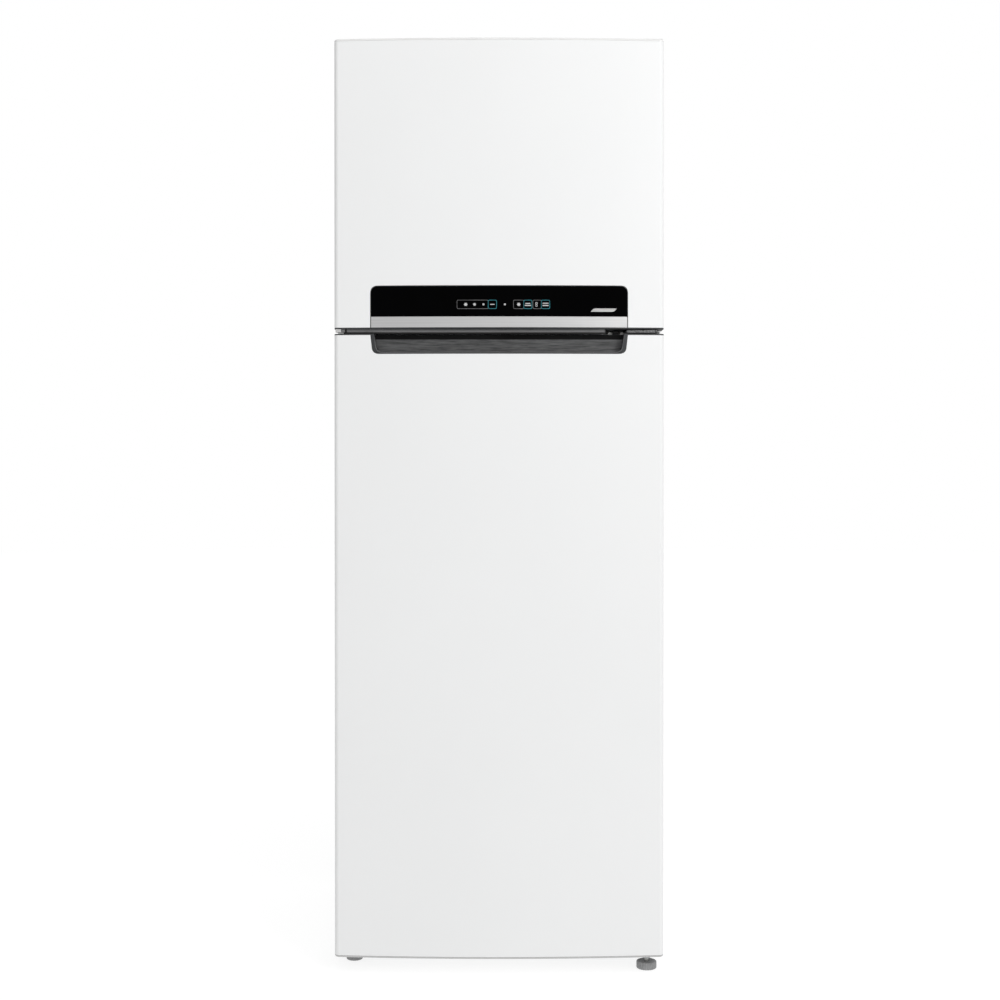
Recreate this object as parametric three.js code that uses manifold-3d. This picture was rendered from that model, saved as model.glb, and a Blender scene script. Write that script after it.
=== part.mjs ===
// A free-standing top freezer refrigerator with two right-hinged doors, as an assembly of separate pieces.
// Millimetres, +Z up. The origin is on the floor under the centre of the whole object's box.
// The doors face -Y, +X is to the right of someone standing in front of them.
import * as THREE from "three";
import { mergeVertices } from "three/addons/utils/BufferGeometryUtils.js";
import Module from "manifold-3d";

const wasm = await Module();
wasm.setup();

// ---------- Driving dimensions ----------
const WIDTH = 600;
const DEPTH = 640;
const HALF = WIDTH / 2;
const FRONT = -DEPTH / 2;
const BACK = DEPTH / 2;
const GAP = 0.3; // between pieces that rest on each other

const BOW = 13; // how far the door fronts bulge at their middle
const DOOR_CORNER = 9; // radius of a door's vertical front edges
const DOOR_THICKNESS = 57; // at the door's sides
const DOOR_BACK = FRONT + BOW + DOOR_THICKNESS;
const SEAL = 12; // the gasket's room between a door and the cabinet
const SHEET = 1; // steel sheet
const SKIN_RETURN = 12; // the door skin's fold behind the door
const CABINET_FRONT = DOOR_BACK + SEAL;
const REAR = BACK - 4; // the back panel sits a little inside the case's rear edges

const CABINET_BOTTOM = 30;
const CABINET_TOP = 1703.5;
const FLANGE = 12; // the case's fold round its front opening
const LINER = 2; // wall of the moulded liners

const FRIDGE_DOOR = { bottom: 31, top: 1167 };
const FREEZER_DOOR = { bottom: 1176, top: 1702.5 };
const HINGE = { x: HALF - 16, y: DOOR_BACK - 22, pin: 4, bore: 4.1 };

const FREEZER = { x: 232, back: 282, bottom: 1199, top: 1632 };
const FRIDGE = { x: 250, back: 260, bottom: 80, top: 1147, stepBack: 112, stepTop: 264 };
const MULLION = { bottom: 1155, top: 1191 };
const BAY = { front: 149, top: 223 }; // the machine bay under the fridge compartment's rear

const DUCT_COVER_Y = 222;
const FAN = { z: 1500, opening: 56, radius: 51 };
const SHELF_FRONT = -115;
const SHELF_BACK = 240;
const SHELF_GLASS = 4;
const SHELVES = { shelf_lower: 425, shelf_middle: 615, shelf_upper: 835 };
const CRISPER_COVER_Z = 306;
const FREEZER_SHELF_Z = 1410;
const WALL = 2.5; // wall of the clear boxes

const PANEL = { half: 233.8, height: 78, corner: 14, stripTop: 22 };
const GRIP = { half: 233.8, depth: 36.4, trough: 51, corner: 14, taper: 2.5, back: -34 };

const RIGHT_FOOT = { x: 272, y: -268, radius: 18.5, height: 14 };
const LEFT_FOOT = { x: -271.5, y: -213, radius: 15.2, height: 12 };
const STUD_TOP = 29.3;
const ROLLER = { x: 262, y: 290, radius: 18, width: 16, axle: 3 };

// ---------- Materials ----------
const finish = (color, roughness, metalness = 0) => () =>
  new THREE.MeshStandardMaterial({ color, roughness, metalness });
const WHITE_STEEL = finish(0xf2f2f1, 0.3);
const WHITE_PLASTIC = finish(0xececea, 0.4);
const LINER_WHITE = finish(0xf5f6f6, 0.35);
const DARK_PLASTIC = finish(0x2a2b2c, 0.45);
const BLACK_GLASS = finish(0x040404, 0.06);
const SILVER = finish(0xbcbcbc, 0.3, 0.8);
const GREY_STEEL = finish(0x8c8e90, 0.4, 0.8);
const FOAM = finish(0xe8d9a8, 0.95);
const RUBBER = finish(0xdcdcda, 0.8);
const CLEAR = finish(0xdfe9ec, 0.1);
const SHELF = finish(0xcfe3df, 0.05);
const BLACK_STEEL = finish(0x161616, 0.5, 0.3);
const ALUMINIUM = finish(0xc4c6c8, 0.35, 0.9);
const BLACK_PLASTIC = finish(0x1c1c1d, 0.6);
const FOOT_GREY = finish(0x77797b, 0.6);

// ---------- Solids ----------
function solidOf(geometry) {
  const bare = geometry.clone();
  bare.deleteAttribute("normal");
  bare.deleteAttribute("uv");
  const merged = mergeVertices(bare);
  return new wasm.Manifold(
    new wasm.Mesh({
      numProp: 3,
      vertProperties: merged.attributes.position.array,
      triVerts: new Uint32Array(merged.index.array),
    }),
  );
}

function geometryOf(solid) {
  const mesh = solid.getMesh();
  const position = new THREE.BufferAttribute(new Float32Array(mesh.vertProperties), 3);
  const index = new THREE.BufferAttribute(new Uint32Array(mesh.triVerts), 1);
  return new THREE.BufferGeometry().setAttribute("position", position).setIndex(index);
}

const join = (first, ...rest) => rest.reduce((made, next) => made.add(next), first);
const cut = (first, ...rest) => rest.reduce((made, next) => made.subtract(next), first);

// A block between two values along each axis.
function block([x0, x1], [y0, y1], [z0, z1]) {
  const box = new THREE.BoxGeometry(x1 - x0, y1 - y0, z1 - z0);
  return solidOf(box.translate((x0 + x1) / 2, (y0 + y1) / 2, (z0 + z1) / 2));
}

// A block that is symmetric about X = 0.
const centred = (half, y, z) => block([-half, half], y, z);

const CURVE = 6; // steps in each curve of an outline

// An XY outline raised from z0 to z1.
function raised(shape, z0, z1) {
  const options = { depth: z1 - z0, bevelEnabled: false, curveSegments: CURVE };
  return solidOf(new THREE.ExtrudeGeometry(shape, options).translate(0, 0, z0));
}

// A front view outline (X across, Y of the shape up) run back from y0 to y1.
function runBack(shape, y0, y1) {
  const options = { depth: y1 - y0, bevelEnabled: false, curveSegments: CURVE };
  return solidOf(new THREE.ExtrudeGeometry(shape, options).rotateX(Math.PI / 2).translate(0, y1, 0));
}

// A side view outline (X of the shape is Y, Y of the shape is Z) run across from x0 to x1.
function runAcross(shape, x0, x1) {
  const geometry = new THREE.ExtrudeGeometry(shape, { depth: x1 - x0, bevelEnabled: false });
  const turn = new THREE.Matrix4().makeBasis(
    new THREE.Vector3(0, 1, 0),
    new THREE.Vector3(0, 0, 1),
    new THREE.Vector3(1, 0, 0),
  );
  return solidOf(geometry.applyMatrix4(turn).translate(x0, 0, 0));
}

// An upright rod or disc.
function upright(radius, z0, z1, sides = 24, x = 0, y = 0) {
  const rod = new THREE.CylinderGeometry(radius, radius, z1 - z0, sides);
  return solidOf(rod.rotateX(Math.PI / 2).translate(x, y, (z0 + z1) / 2));
}

// A rod or disc along Y.
function rodAlongY(radius, y0, y1, sides = 24, x = 0, z = 0) {
  const rod = new THREE.CylinderGeometry(radius, radius, y1 - y0, sides);
  return solidOf(rod.translate(x, (y0 + y1) / 2, z));
}

// A rod or disc along X.
function rodAlongX(radius, x0, x1, sides = 24, y = 0, z = 0) {
  const rod = new THREE.CylinderGeometry(radius, radius, x1 - x0, sides);
  return solidOf(rod.rotateZ(Math.PI / 2).translate((x0 + x1) / 2, y, z));
}

// A profile of [radius, z] points turned round Z.
function turned(profile, sides = 32) {
  const points = profile.map(([r, z]) => new THREE.Vector2(r, z));
  return solidOf(new THREE.LatheGeometry(points, sides).rotateX(Math.PI / 2));
}

// An open-topped box with its floor at z 0.
function openBox([x0, x1], [y0, y1], height, wall = WALL) {
  const inside = block([x0 + wall, x1 - wall], [y0 + wall, y1 - wall], [wall, height + 1]);
  return cut(block([x0, x1], [y0, y1], [0, height]), inside);
}

// Adds one named piece to a group.
function piece(group, name, solid, material, place = [0, 0, 0]) {
  const mesh = new THREE.Mesh(geometryOf(solid), material());
  mesh.name = name;
  mesh.position.set(...place);
  group.add(mesh);
  return mesh;
}

function subgroup(parent, place = [0, 0, 0]) {
  const group = new THREE.Group();
  group.position.set(...place);
  parent.add(group);
  return group;
}

const refrigerator = new THREE.Group();

// ---------- Cabinet shell ----------
const cabinet = subgroup(refrigerator);
const CASE_INNER = HALF - SHEET;
const INSIDE = CASE_INNER - GAP;

// One folded sheet: two sides and the top, with a narrow fold round the front.
function outerCase() {
  const inner = centred(CASE_INNER, [CABINET_FRONT + SHEET, BACK + 1], [0, CABINET_TOP - SHEET]);
  const opening = centred(HALF - FLANGE, [CABINET_FRONT - 1, CABINET_FRONT + 5], [0, CABINET_TOP - FLANGE]);
  return cut(centred(HALF, [CABINET_FRONT, BACK], [CABINET_BOTTOM, CABINET_TOP]), inner, opening);
}

// The floor sheet, folded up and back over the machine bay, with the left foot's nut under it.
function bottomDeck() {
  const z = CABINET_BOTTOM + GAP;
  const profile = new THREE.Shape();
  profile.moveTo(CABINET_FRONT + 2, z);
  profile.lineTo(BAY.front, z);
  profile.lineTo(BAY.front, BAY.top - SHEET);
  profile.lineTo(REAR - GAP, BAY.top - SHEET);
  profile.lineTo(REAR - GAP, BAY.top);
  profile.lineTo(BAY.front - SHEET, BAY.top);
  profile.lineTo(BAY.front - SHEET, z + SHEET);
  profile.lineTo(CABINET_FRONT + 2, z + SHEET);
  const pad = block([LEFT_FOOT.x - 22, LEFT_FOOT.x + 22], [CABINET_FRONT + 1.5, LEFT_FOOT.y + 40], [27, z + 0.5]);
  const nut = upright(8, 20, 28, 6, LEFT_FOOT.x, LEFT_FOOT.y);
  const thread = upright(HINGE.bore, 10, 60, 24, LEFT_FOOT.x, LEFT_FOOT.y);
  return cut(join(runAcross(profile, -INSIDE, INSIDE), pad, nut), thread);
}

// The space a liner takes up, grown by a margin: the freezer's box or the fridge's stepped box.
function freezerSpace(margin) {
  const z = [FREEZER.bottom - margin, FREEZER.top + margin];
  return centred(FREEZER.x + margin, [CABINET_FRONT - 5, FREEZER.back + margin], z);
}

function fridgeSpace(margin) {
  const tall = [FRIDGE.stepTop - margin, FRIDGE.top + margin];
  const low = [FRIDGE.bottom - margin, FRIDGE.stepTop + 1];
  const upper = centred(FRIDGE.x + margin, [CABINET_FRONT - 5, FRIDGE.back + margin], tall);
  return join(upper, centred(FRIDGE.x + margin, [CABINET_FRONT - 5, FRIDGE.stepBack + margin], low));
}

// Both walls' ledges under a shelf.
function ledges(x, width, y, z) {
  const right = block([x - width, x + 1], y, [z - 6, z - GAP]);
  return join(right, block([-x - 1, width - x], y, [z - 6, z - GAP]));
}

const LINER_FRONT = [CABINET_FRONT, CABINET_FRONT + LINER];

function freezerLiner() {
  const shell = freezerSpace(LINER).intersect(
    centred(HALF, [CABINET_FRONT, BACK], [CABINET_BOTTOM, CABINET_TOP]),
  );
  const flange = centred(HALF - FLANGE - GAP, LINER_FRONT, [MULLION.top + GAP, CABINET_TOP - FLANGE - GAP]);
  const ribs = ledges(FREEZER.x, 5, [-130, 210], FREEZER_SHELF_Z);
  return join(cut(join(shell, flange), freezerSpace(0)), ribs);
}

function fridgeLiner() {
  const shell = fridgeSpace(LINER).intersect(
    centred(HALF, [CABINET_FRONT, BACK], [CABINET_BOTTOM, CABINET_TOP]),
  );
  const flange = centred(HALF - FLANGE - GAP, LINER_FRONT, [CABINET_BOTTOM + 2, MULLION.bottom - GAP]);
  const ribs = [CRISPER_COVER_Z, ...Object.values(SHELVES)].map((z) =>
    ledges(FRIDGE.x, 6, [-105, SHELF_BACK - 10], z),
  );
  return join(cut(join(shell, flange), fridgeSpace(0)), ...ribs);
}

// The foam poured between the case and the liners.
function foamCore() {
  const front = CABINET_FRONT + LINER + GAP;
  const z = [CABINET_BOTTOM + SHEET + 2 * GAP, CABINET_TOP - SHEET - GAP];
  const body = centred(INSIDE, [front, REAR - GAP], z);
  const bay = centred(HALF, [BAY.front - SHEET - GAP, BACK], [0, BAY.top + GAP]);
  return cut(body, bay, freezerSpace(LINER + GAP), fridgeSpace(LINER + GAP));
}

piece(cabinet, "outer_case", outerCase(), WHITE_STEEL);
piece(
  cabinet,
  "back_panel",
  centred(INSIDE, [REAR, REAR + SHEET], [BAY.top + 0.5, CABINET_TOP - SHEET - GAP]),
  GREY_STEEL,
);
piece(cabinet, "bottom_deck", bottomDeck(), GREY_STEEL);
piece(cabinet, "foam_core", foamCore(), FOAM);
piece(cabinet, "freezer_liner", freezerLiner(), LINER_WHITE);
piece(cabinet, "fridge_liner", fridgeLiner(), LINER_WHITE);
piece(
  cabinet,
  "mullion_cover",
  centred(HALF - FLANGE - 4, [CABINET_FRONT, CABINET_FRONT + 1.5], [MULLION.bottom, MULLION.top]),
  GREY_STEEL,
);

// ---------- Hinges ----------
// A flat arm from the cabinet forward to the hinge axis, with a round end over the pin.
function hingeArm(left, right, back, z0, z1) {
  const end = 11;
  const shape = new THREE.Shape();
  shape.moveTo(right, HINGE.y);
  shape.lineTo(right, back);
  shape.lineTo(left, back);
  shape.lineTo(left, HINGE.y + 26);
  shape.lineTo(HINGE.x - end, HINGE.y);
  shape.absarc(HINGE.x, HINGE.y, end, Math.PI, 2 * Math.PI, false);
  return raised(shape, z0, z1);
}

const hingePin = (z0, z1) => upright(HINGE.pin, z0, z1, 16, HINGE.x, HINGE.y);
const ARM_RIGHT = HINGE.x + 11;

const topArm = [CABINET_TOP + GAP, CABINET_TOP + 2.8];
const topBracket = join(
  hingeArm(215, ARM_RIGHT, -170, ...topArm),
  hingePin(FREEZER_DOOR.top - 20, CABINET_TOP + 1),
);
piece(cabinet, "top_hinge_bracket", topBracket, GREY_STEEL);

// A low cover over the top hinge, open underneath.
function topHingeCover() {
  const outline = (inset) => {
    const shape = new THREE.Shape();
    const bottom = CABINET_TOP + GAP - (inset ? 2 : 0);
    shape.moveTo(HINGE.y - 13.5 + inset, bottom);
    shape.lineTo(HINGE.y - 13.5 + inset, CABINET_TOP + 4.6 - inset);
    shape.lineTo(-225, CABINET_TOP + 13 - inset);
    shape.lineTo(-155 - inset, CABINET_TOP + 13 - inset);
    shape.lineTo(-155 - inset, bottom);
    return shape;
  };
  const wall = 1.5;
  return cut(runAcross(outline(0), 205, 299), runAcross(outline(wall), 205 + wall, 299 - wall));
}
piece(cabinet, "top_hinge_cover", topHingeCover(), WHITE_PLASTIC);

const MIDDLE_ARM = [1170, 1173];
const middleBracket = join(
  block([198, 287], [CABINET_FRONT - 3 - GAP, CABINET_FRONT - GAP], [1163.5, 1179.5]),
  hingeArm(232, ARM_RIGHT - 8, CABINET_FRONT - 2, ...MIDDLE_ARM),
  hingePin(1149, 1192),
);
piece(cabinet, "middle_hinge_bracket", middleBracket, BLACK_STEEL);

const BOTTOM_ARM = [26.7, 29.7];
const bottomBracket = cut(
  join(
    hingeArm(236, ARM_RIGHT, -150, ...BOTTOM_ARM),
    hingePin(BOTTOM_ARM[0] + 1, 52),
    upright(8, 20, 28, 6, RIGHT_FOOT.x, RIGHT_FOOT.y),
  ),
  upright(HINGE.bore, 10, BOTTOM_ARM[1] + 0.01, 24, RIGHT_FOOT.x, RIGHT_FOOT.y),
);
piece(cabinet, "bottom_hinge_bracket", bottomBracket, GREY_STEEL);

// ---------- Machine bay ----------
const bay = subgroup(refrigerator);
const EAR = 2;
const BASE_Z = 40;

// The cross plate that carries the compressor and holds the rear rollers between its ears.
function compressorBase() {
  const plate = centred(INSIDE - 1, [BAY.front + 4, BACK - 4], [BASE_Z, BASE_Z + 2]);
  const parts = [plate];
  for (const side of [-1, 1]) {
    const wall = [side * (INSIDE - 1), side * (INSIDE - 3)].sort((a, b) => a - b);
    parts.push(block(wall, [BAY.front + 4, BACK - 4], [BASE_Z + 1, BASE_Z + 24]));
    for (const inner of [-1, 1]) {
      const x = side * ROLLER.x + inner * (ROLLER.width / 2 + EAR);
      parts.push(block([x - EAR / 2, x + EAR / 2], [ROLLER.y - 14, ROLLER.y + 14], [9, BASE_Z + 1]));
    }
  }
  return cut(join(...parts), rodAlongX(ROLLER.axle + 0.4, -HALF, HALF, 16, ROLLER.y, ROLLER.radius));
}
piece(bay, "compressor_base", compressorBase(), GREY_STEEL);

// A hermetic shell: an oval can with a domed top, on a four-footed plate.
function compressor() {
  const can = [
    [0, 0],
    [62, 0],
    [70, 8],
    [71, 70],
    [68, 104],
    [56, 128],
    [34, 141],
    [0, 146],
  ];
  const shell = turned(can, 28).scale([1.25, 1, 1]);
  const feet = block([-98, 98], [-62, 62], [-5, 1]);
  return join(shell, feet);
}
piece(bay, "compressor", compressor(), BLACK_STEEL, [120, 236, 62]);

const PAN = { x: [-282, -20], y: [160, 310], height: 56 };
piece(bay, "drain_pan", openBox(PAN.x, PAN.y, PAN.height), BLACK_PLASTIC, [0, 0, BASE_Z + 2 + GAP]);

// The mains cord's gland on the bay's front wall, with its nose facing back.
const gland = join(rodAlongY(13, 0, 4), rodAlongY(9, 3, 20));
piece(bay, "cord_gland", gland, BLACK_PLASTIC, [-190, BAY.front + GAP, 160]);

const axle = rodAlongX(ROLLER.axle, -ROLLER.x - 16, ROLLER.x + 16, 16);
piece(bay, "rear_roller_axle", axle, GREY_STEEL, [0, ROLLER.y, ROLLER.radius]);

const roller = cut(
  rodAlongX(ROLLER.radius, -ROLLER.width / 2, ROLLER.width / 2, 32),
  rodAlongX(ROLLER.axle + 0.4, -ROLLER.width, ROLLER.width, 16),
);
for (const [name, side] of [["rear_roller_left", -1], ["rear_roller_right", 1]]) {
  piece(bay, name, roller, BLACK_PLASTIC, [side * ROLLER.x, ROLLER.y, ROLLER.radius]);
}

// ---------- Levelling feet ----------
for (const [name, foot] of [["left_foot", LEFT_FOOT], ["right_foot", RIGHT_FOOT]]) {
  const place = subgroup(refrigerator, [foot.x, foot.y, 0]);
  const { radius, height } = foot;
  const pad = [
    [0, 0],
    [radius - 2, 0],
    [radius, 1.6],
    [radius, height - 1],
    [radius - 1, height],
    [HINGE.pin + GAP, height],
    [HINGE.pin + GAP, 4],
    [0, 4],
  ];
  piece(place, `${name}_pad`, turned(pad), FOOT_GREY);
  piece(place, `${name}_stud`, upright(HINGE.pin, 4 + GAP, STUD_TOP, 16), GREY_STEEL);
}

// ---------- Freezer compartment ----------
const freezer = subgroup(refrigerator);

// The moulded wall in front of the evaporator: a fan opening, outlets above and returns below.
function freezerDuctCover() {
  const plate = centred(FREEZER.x - 0.5, [DUCT_COVER_Y, DUCT_COVER_Y + 3], [FREEZER.bottom + 0.5, FREEZER.top - 0.5]);
  const holes = [rodAlongY(FAN.opening, DUCT_COVER_Y - 9, DUCT_COVER_Y + 9, 32, 0, FAN.z)];
  for (const x of [-160, -60, 60, 160]) {
    holes.push(block([x - 35, x + 35], [DUCT_COVER_Y - 9, DUCT_COVER_Y + 9], [1592, 1604]));
    holes.push(block([x - 35, x + 35], [DUCT_COVER_Y - 9, DUCT_COVER_Y + 9], [1206, 1218]));
  }
  return cut(plate, ...holes);
}
piece(freezer, "freezer_duct_cover", freezerDuctCover(), LINER_WHITE);

// A finned coil: fins across, joined by the tube's runs.
function evaporator() {
  const half = 190;
  const fins = 14;
  const parts = [];
  for (let i = 0; i <= fins; i += 1) {
    const x = -half + (2 * half * i) / fins;
    parts.push(block([x - 1, x + 1], [0, 44], [0, 170]));
  }
  for (const z of [30, 85, 140]) {
    parts.push(centred(half + 6, [18, 26], [z - 4, z + 4]));
  }
  return join(...parts);
}
piece(freezer, "evaporator", evaporator(), ALUMINIUM, [0, 232, 1228]);

// The fan's motor on a bar between two posts behind the cover.
const motor = cut(
  join(
    rodAlongY(24, 28, 54),
    block([-68, 68], [34, 38], [-6, 6]),
    block([-70, -64], [3.5, 38], [-6, 6]),
    block([64, 70], [3.5, 38], [-6, 6]),
    rodAlongY(2.5, 14, 30, 12),
  ),
);
piece(freezer, "fan_motor", motor, BLACK_PLASTIC, [0, DUCT_COVER_Y, FAN.z]);

function fanBlade() {
  const hub = cut(rodAlongY(15, 8, 25, 20), rodAlongY(2.9, 7, 26, 12));
  const count = 5;
  const blades = [];
  for (let i = 0; i < count; i += 1) {
    const vane = new THREE.BoxGeometry(FAN.radius - 13, 1.6, 26);
    vane.rotateX(0.6).translate((FAN.radius + 13) / 2, 15, 0).rotateY((i * 2 * Math.PI) / count);
    blades.push(solidOf(vane));
  }
  return join(hub, ...blades).intersect(rodAlongY(FAN.radius, 4, 27, 32));
}
piece(freezer, "fan_blade", fanBlade(), LINER_WHITE, [0, DUCT_COVER_Y, FAN.z]);

const airKnob = join(
  rodAlongY(17, -6, -GAP, 28),
  block([-3.5, 3.5], [-15, -5], [-16, 16]),
);
piece(freezer, "air_knob", airKnob, WHITE_PLASTIC, [150, DUCT_COVER_Y, 1530]);

piece(
  freezer,
  "freezer_shelf",
  centred(FREEZER.x - 1, [-138, 215], [0, SHELF_GLASS]),
  SHELF,
  [0, 0, FREEZER_SHELF_Z],
);

// The twist ice maker: a frame on two side walls, a tray that turns in it, and the box below.
const ICE = { x: -151, front: -128, back: 60, half: 75, axisZ: 1352 };
const ice = subgroup(refrigerator, [ICE.x, 0, ICE.axisZ]);
const iceFloor = FREEZER.bottom + 0.5 - ICE.axisZ;

function iceMakerFrame() {
  const side = (x) => block([x - 2, x + 2], [ICE.front, ICE.back], [iceFloor, 24]);
  const bar = (y) => centred(ICE.half - 2, [y, y + 4], [-22, 24]);
  const parts = [side(-ICE.half + 2), side(ICE.half - 2), bar(ICE.front), bar(ICE.back - 4)];
  return cut(join(...parts), rodAlongY(HINGE.bore, ICE.front - 1, ICE.back + 1, 24));
}
piece(ice, "ice_maker_frame", iceMakerFrame(), WHITE_PLASTIC);

// A tray of two troughs on a spindle, with the twist knob in front.
function iceTray() {
  const y = [ICE.front + 8, ICE.back - 8];
  const trough = (x) => block([x - 19, x + 19], [y[0] + 3, y[1] - 3], [-10, 20]);
  const body = cut(centred(47, y, [-14, 14]), trough(-24), trough(24));
  const spindle = rodAlongY(HINGE.pin, ICE.front - 6, ICE.back - 1, 16);
  const knob = rodAlongY(19, ICE.front - 6, ICE.front - 0.6, 24);
  const grip = block([-3.5, 3.5], [ICE.front - 14, ICE.front - 5], [-18, 18]);
  return join(body, spindle, knob, grip);
}
piece(ice, "ice_tray", iceTray(), WHITE_PLASTIC);

const iceBox = openBox([-ICE.half + 5, ICE.half - 5], [ICE.front, ICE.back - 2], 86);
piece(ice, "ice_box", iceBox, CLEAR, [0, 0, iceFloor + GAP]);

// ---------- Fridge compartment ----------
const fridge = subgroup(refrigerator);

for (const [name, z] of Object.entries(SHELVES)) {
  const glass = centred(FRIDGE.x - 1, [SHELF_FRONT, SHELF_BACK], [0, SHELF_GLASS]);
  piece(fridge, name, glass, SHELF, [0, 0, z]);
}
piece(
  fridge,
  "crisper_cover",
  centred(FRIDGE.x - 1, [SHELF_FRONT, SHELF_BACK], [0, SHELF_GLASS]),
  SHELF,
  [0, 0, CRISPER_COVER_Z],
);

// The air duct on the rear wall: a channel open to the wall, with outlets in pairs.
function airDuct() {
  const channel = cut(
    centred(110, [0, 13.7], [0, 820]),
    centred(107, [3, 20], [3, 817]),
  );
  const slots = [];
  for (const z of [60, 210, 250, 430, 470, 700, 740]) {
    for (const x of [-62, 62]) {
      slots.push(block([x - 30, x + 30], [-5, 5], [z, z + 8]));
    }
  }
  return cut(channel, ...slots);
}
piece(fridge, "fridge_air_duct", airDuct(), LINER_WHITE, [0, 246, 318]);

// The light switch on the ceiling, and the plunger that the closed door holds in.
const SWITCH = { x: 170, y: -230, z: 1138 };
const switchGroup = subgroup(refrigerator, [SWITCH.x, SWITCH.y, SWITCH.z]);
const switchBody = cut(
  centred(18, [0, 36], [-8, 8.7]),
  centred(6.5, [-1, 27], [-3.5, 3.5]),
);
piece(switchGroup, "light_switch", switchBody, WHITE_PLASTIC);
piece(
  switchGroup,
  "light_switch_plunger",
  centred(6, [DOOR_BACK + 0.5 - SWITCH.y, 18], [-3, 3]),
  WHITE_PLASTIC,
);

// The drawers, each with a finger lip along its front.
function drawer(half, depth, height) {
  const box = openBox([-half, half], [4, depth], height);
  const front = centred(half, [0, 5], [0, height]);
  const scoop = centred(70, [-1, 2.5], [height - 34, height - 14]);
  return cut(join(box, front), scoop);
}
const CRISPER = { half: 238, depth: 223, height: 214, z: FRIDGE.bottom + 2 };
const CHILLER = { half: 236, depth: 345, height: 92, z: CRISPER_COVER_Z + SHELF_GLASS + 2 };
const crisperGroup = subgroup(refrigerator, [0, SHELF_FRONT, CRISPER.z]);
piece(crisperGroup, "crisper_drawer", drawer(CRISPER.half, CRISPER.depth, CRISPER.height), CLEAR);
const chiller = drawer(CHILLER.half, CHILLER.depth, CHILLER.height);
piece(fridge, "chiller_drawer", chiller, CLEAR, [0, SHELF_FRONT, CHILLER.z]);

// The crisper's vent slide, clipped on the drawer's front rim.
const slider = join(
  block([-16, 16], [-3.5, -GAP], [-20, -6]),
  block([-3, 3], [-7, -3], [-19, -7]),
);
piece(crisperGroup, "humidity_slider", slider, WHITE_PLASTIC, [120, 0, CRISPER.height - 4]);

// ---------- Doors ----------
// In a door's own frame its back plane is y 0, its bottom edge is z 0 and its front is at -Y.
const bowAt = (x) => -DOOR_THICKNESS - BOW + BOW * (x / HALF) ** 2;

// A door's outline seen from above, moved in from its edges, with its back at the given Y.
function doorOutline(inset, back = -inset) {
  const shape = new THREE.Shape();
  const side = HALF - inset;
  const radius = DOOR_CORNER - inset;
  const cornerX = HALF - DOOR_CORNER;
  const cornerY = bowAt(cornerX) + DOOR_CORNER;
  const steps = 16;
  shape.moveTo(side, back);
  shape.lineTo(-side, back);
  shape.absarc(-cornerX, cornerY, radius, Math.PI, 1.5 * Math.PI, false);
  for (let i = 1; i < steps; i += 1) {
    const x = -cornerX + (2 * cornerX * i) / steps;
    shape.lineTo(x, bowAt(x) + inset);
  }
  shape.absarc(cornerX, cornerY, radius, 1.5 * Math.PI, 2 * Math.PI, false);
  return shape;
}

// A slab that follows the bowed front, between two depths behind it, or back to a flat plane.
function bowedSlab(half, depth0, depth1, z0, z1, flatBack = null) {
  const steps = 16;
  const shape = new THREE.Shape();
  const xAt = (i) => -half + (2 * half * i) / steps;
  shape.moveTo(-half, bowAt(half) + depth0);
  for (let i = 1; i <= steps; i += 1) shape.lineTo(xAt(i), bowAt(xAt(i)) + depth0);
  if (flatBack === null) {
    for (let i = steps; i >= 0; i -= 1) shape.lineTo(xAt(i), bowAt(xAt(i)) + depth1);
  } else {
    shape.lineTo(half, flatBack);
    shape.lineTo(-half, flatBack);
  }
  return raised(shape, z0, z1);
}

// A front view outline with two rounded corners, at its top or its bottom.
function windowShape(half, zSquare, zRound, radius, taper = 0) {
  const shape = new THREE.Shape();
  const up = Math.sign(zRound - zSquare);
  const far = half - taper;
  shape.moveTo(-half, zSquare);
  shape.lineTo(half, zSquare);
  shape.lineTo(far, zRound - up * radius);
  shape.quadraticCurveTo(far, zRound, far - radius, zRound);
  shape.lineTo(radius - far, zRound);
  shape.quadraticCurveTo(-far, zRound, -far, zRound - up * radius);
  return shape;
}
const FRONT_CUT = [-DOOR_THICKNESS - BOW - 5, -DOOR_THICKNESS + 6];

// The steel wrapper of a door: bowed front, sides and a narrow fold behind.
function doorSkin(z0, z1) {
  const wrapper = cut(raised(doorOutline(0), z0, z1), raised(doorOutline(SHEET), z0 - 1, z1 + 1));
  return cut(wrapper, centred(HALF - SKIN_RETURN, [-SHEET - 1, 1], [z0 - 1, z1 + 1]));
}

// An end cap: a flange over the door's end and a plug inside the skin, with the hinge bore.
const PLUG = 26;
function doorCap(flange, plug) {
  const bore = upright(HINGE.bore, -10, DOOR_TALL, 24, HINGE.x, HINGE.y - DOOR_BACK);
  const flangePlate = raised(doorOutline(0), ...flange);
  const plugBody = raised(doorOutline(SHEET + GAP, -LINER - GAP), ...plug);
  return cut(join(flangePlate, plugBody), bore);
}
const DOOR_TALL = 2000;

// The door's inner panel with the raised dike that carries the bins.
function doorLiner(z0, z1, dikeHalf, dikeZ0, dikeZ1) {
  const dike = 28;
  const plate = centred(HALF - SKIN_RETURN - GAP, [-LINER, 0], [z0, z1]);
  const ring = cut(
    centred(dikeHalf, [-1, dike], [dikeZ0, dikeZ1]),
    centred(dikeHalf - dike, [-3, dike + 1], [dikeZ0 + dike, dikeZ1 - dike]),
  );
  return join(plate, ring);
}

function gasket(z0, z1) {
  const outer = HINGE.x - 1;
  const width = 18;
  const y = [GAP, SEAL - GAP];
  return cut(
    centred(outer, y, [z0, z1]),
    centred(outer - width, [-1, SEAL + 1], [z0 + width, z1 - width]),
  );
}

function bin(half, depth, height) {
  return openBox([-half, half], [GAP, depth], height);
}

const CAP_DARK = 2; // flange of the dark caps on each side of the gap between the doors
const CAP_WHITE = 4;

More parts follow.
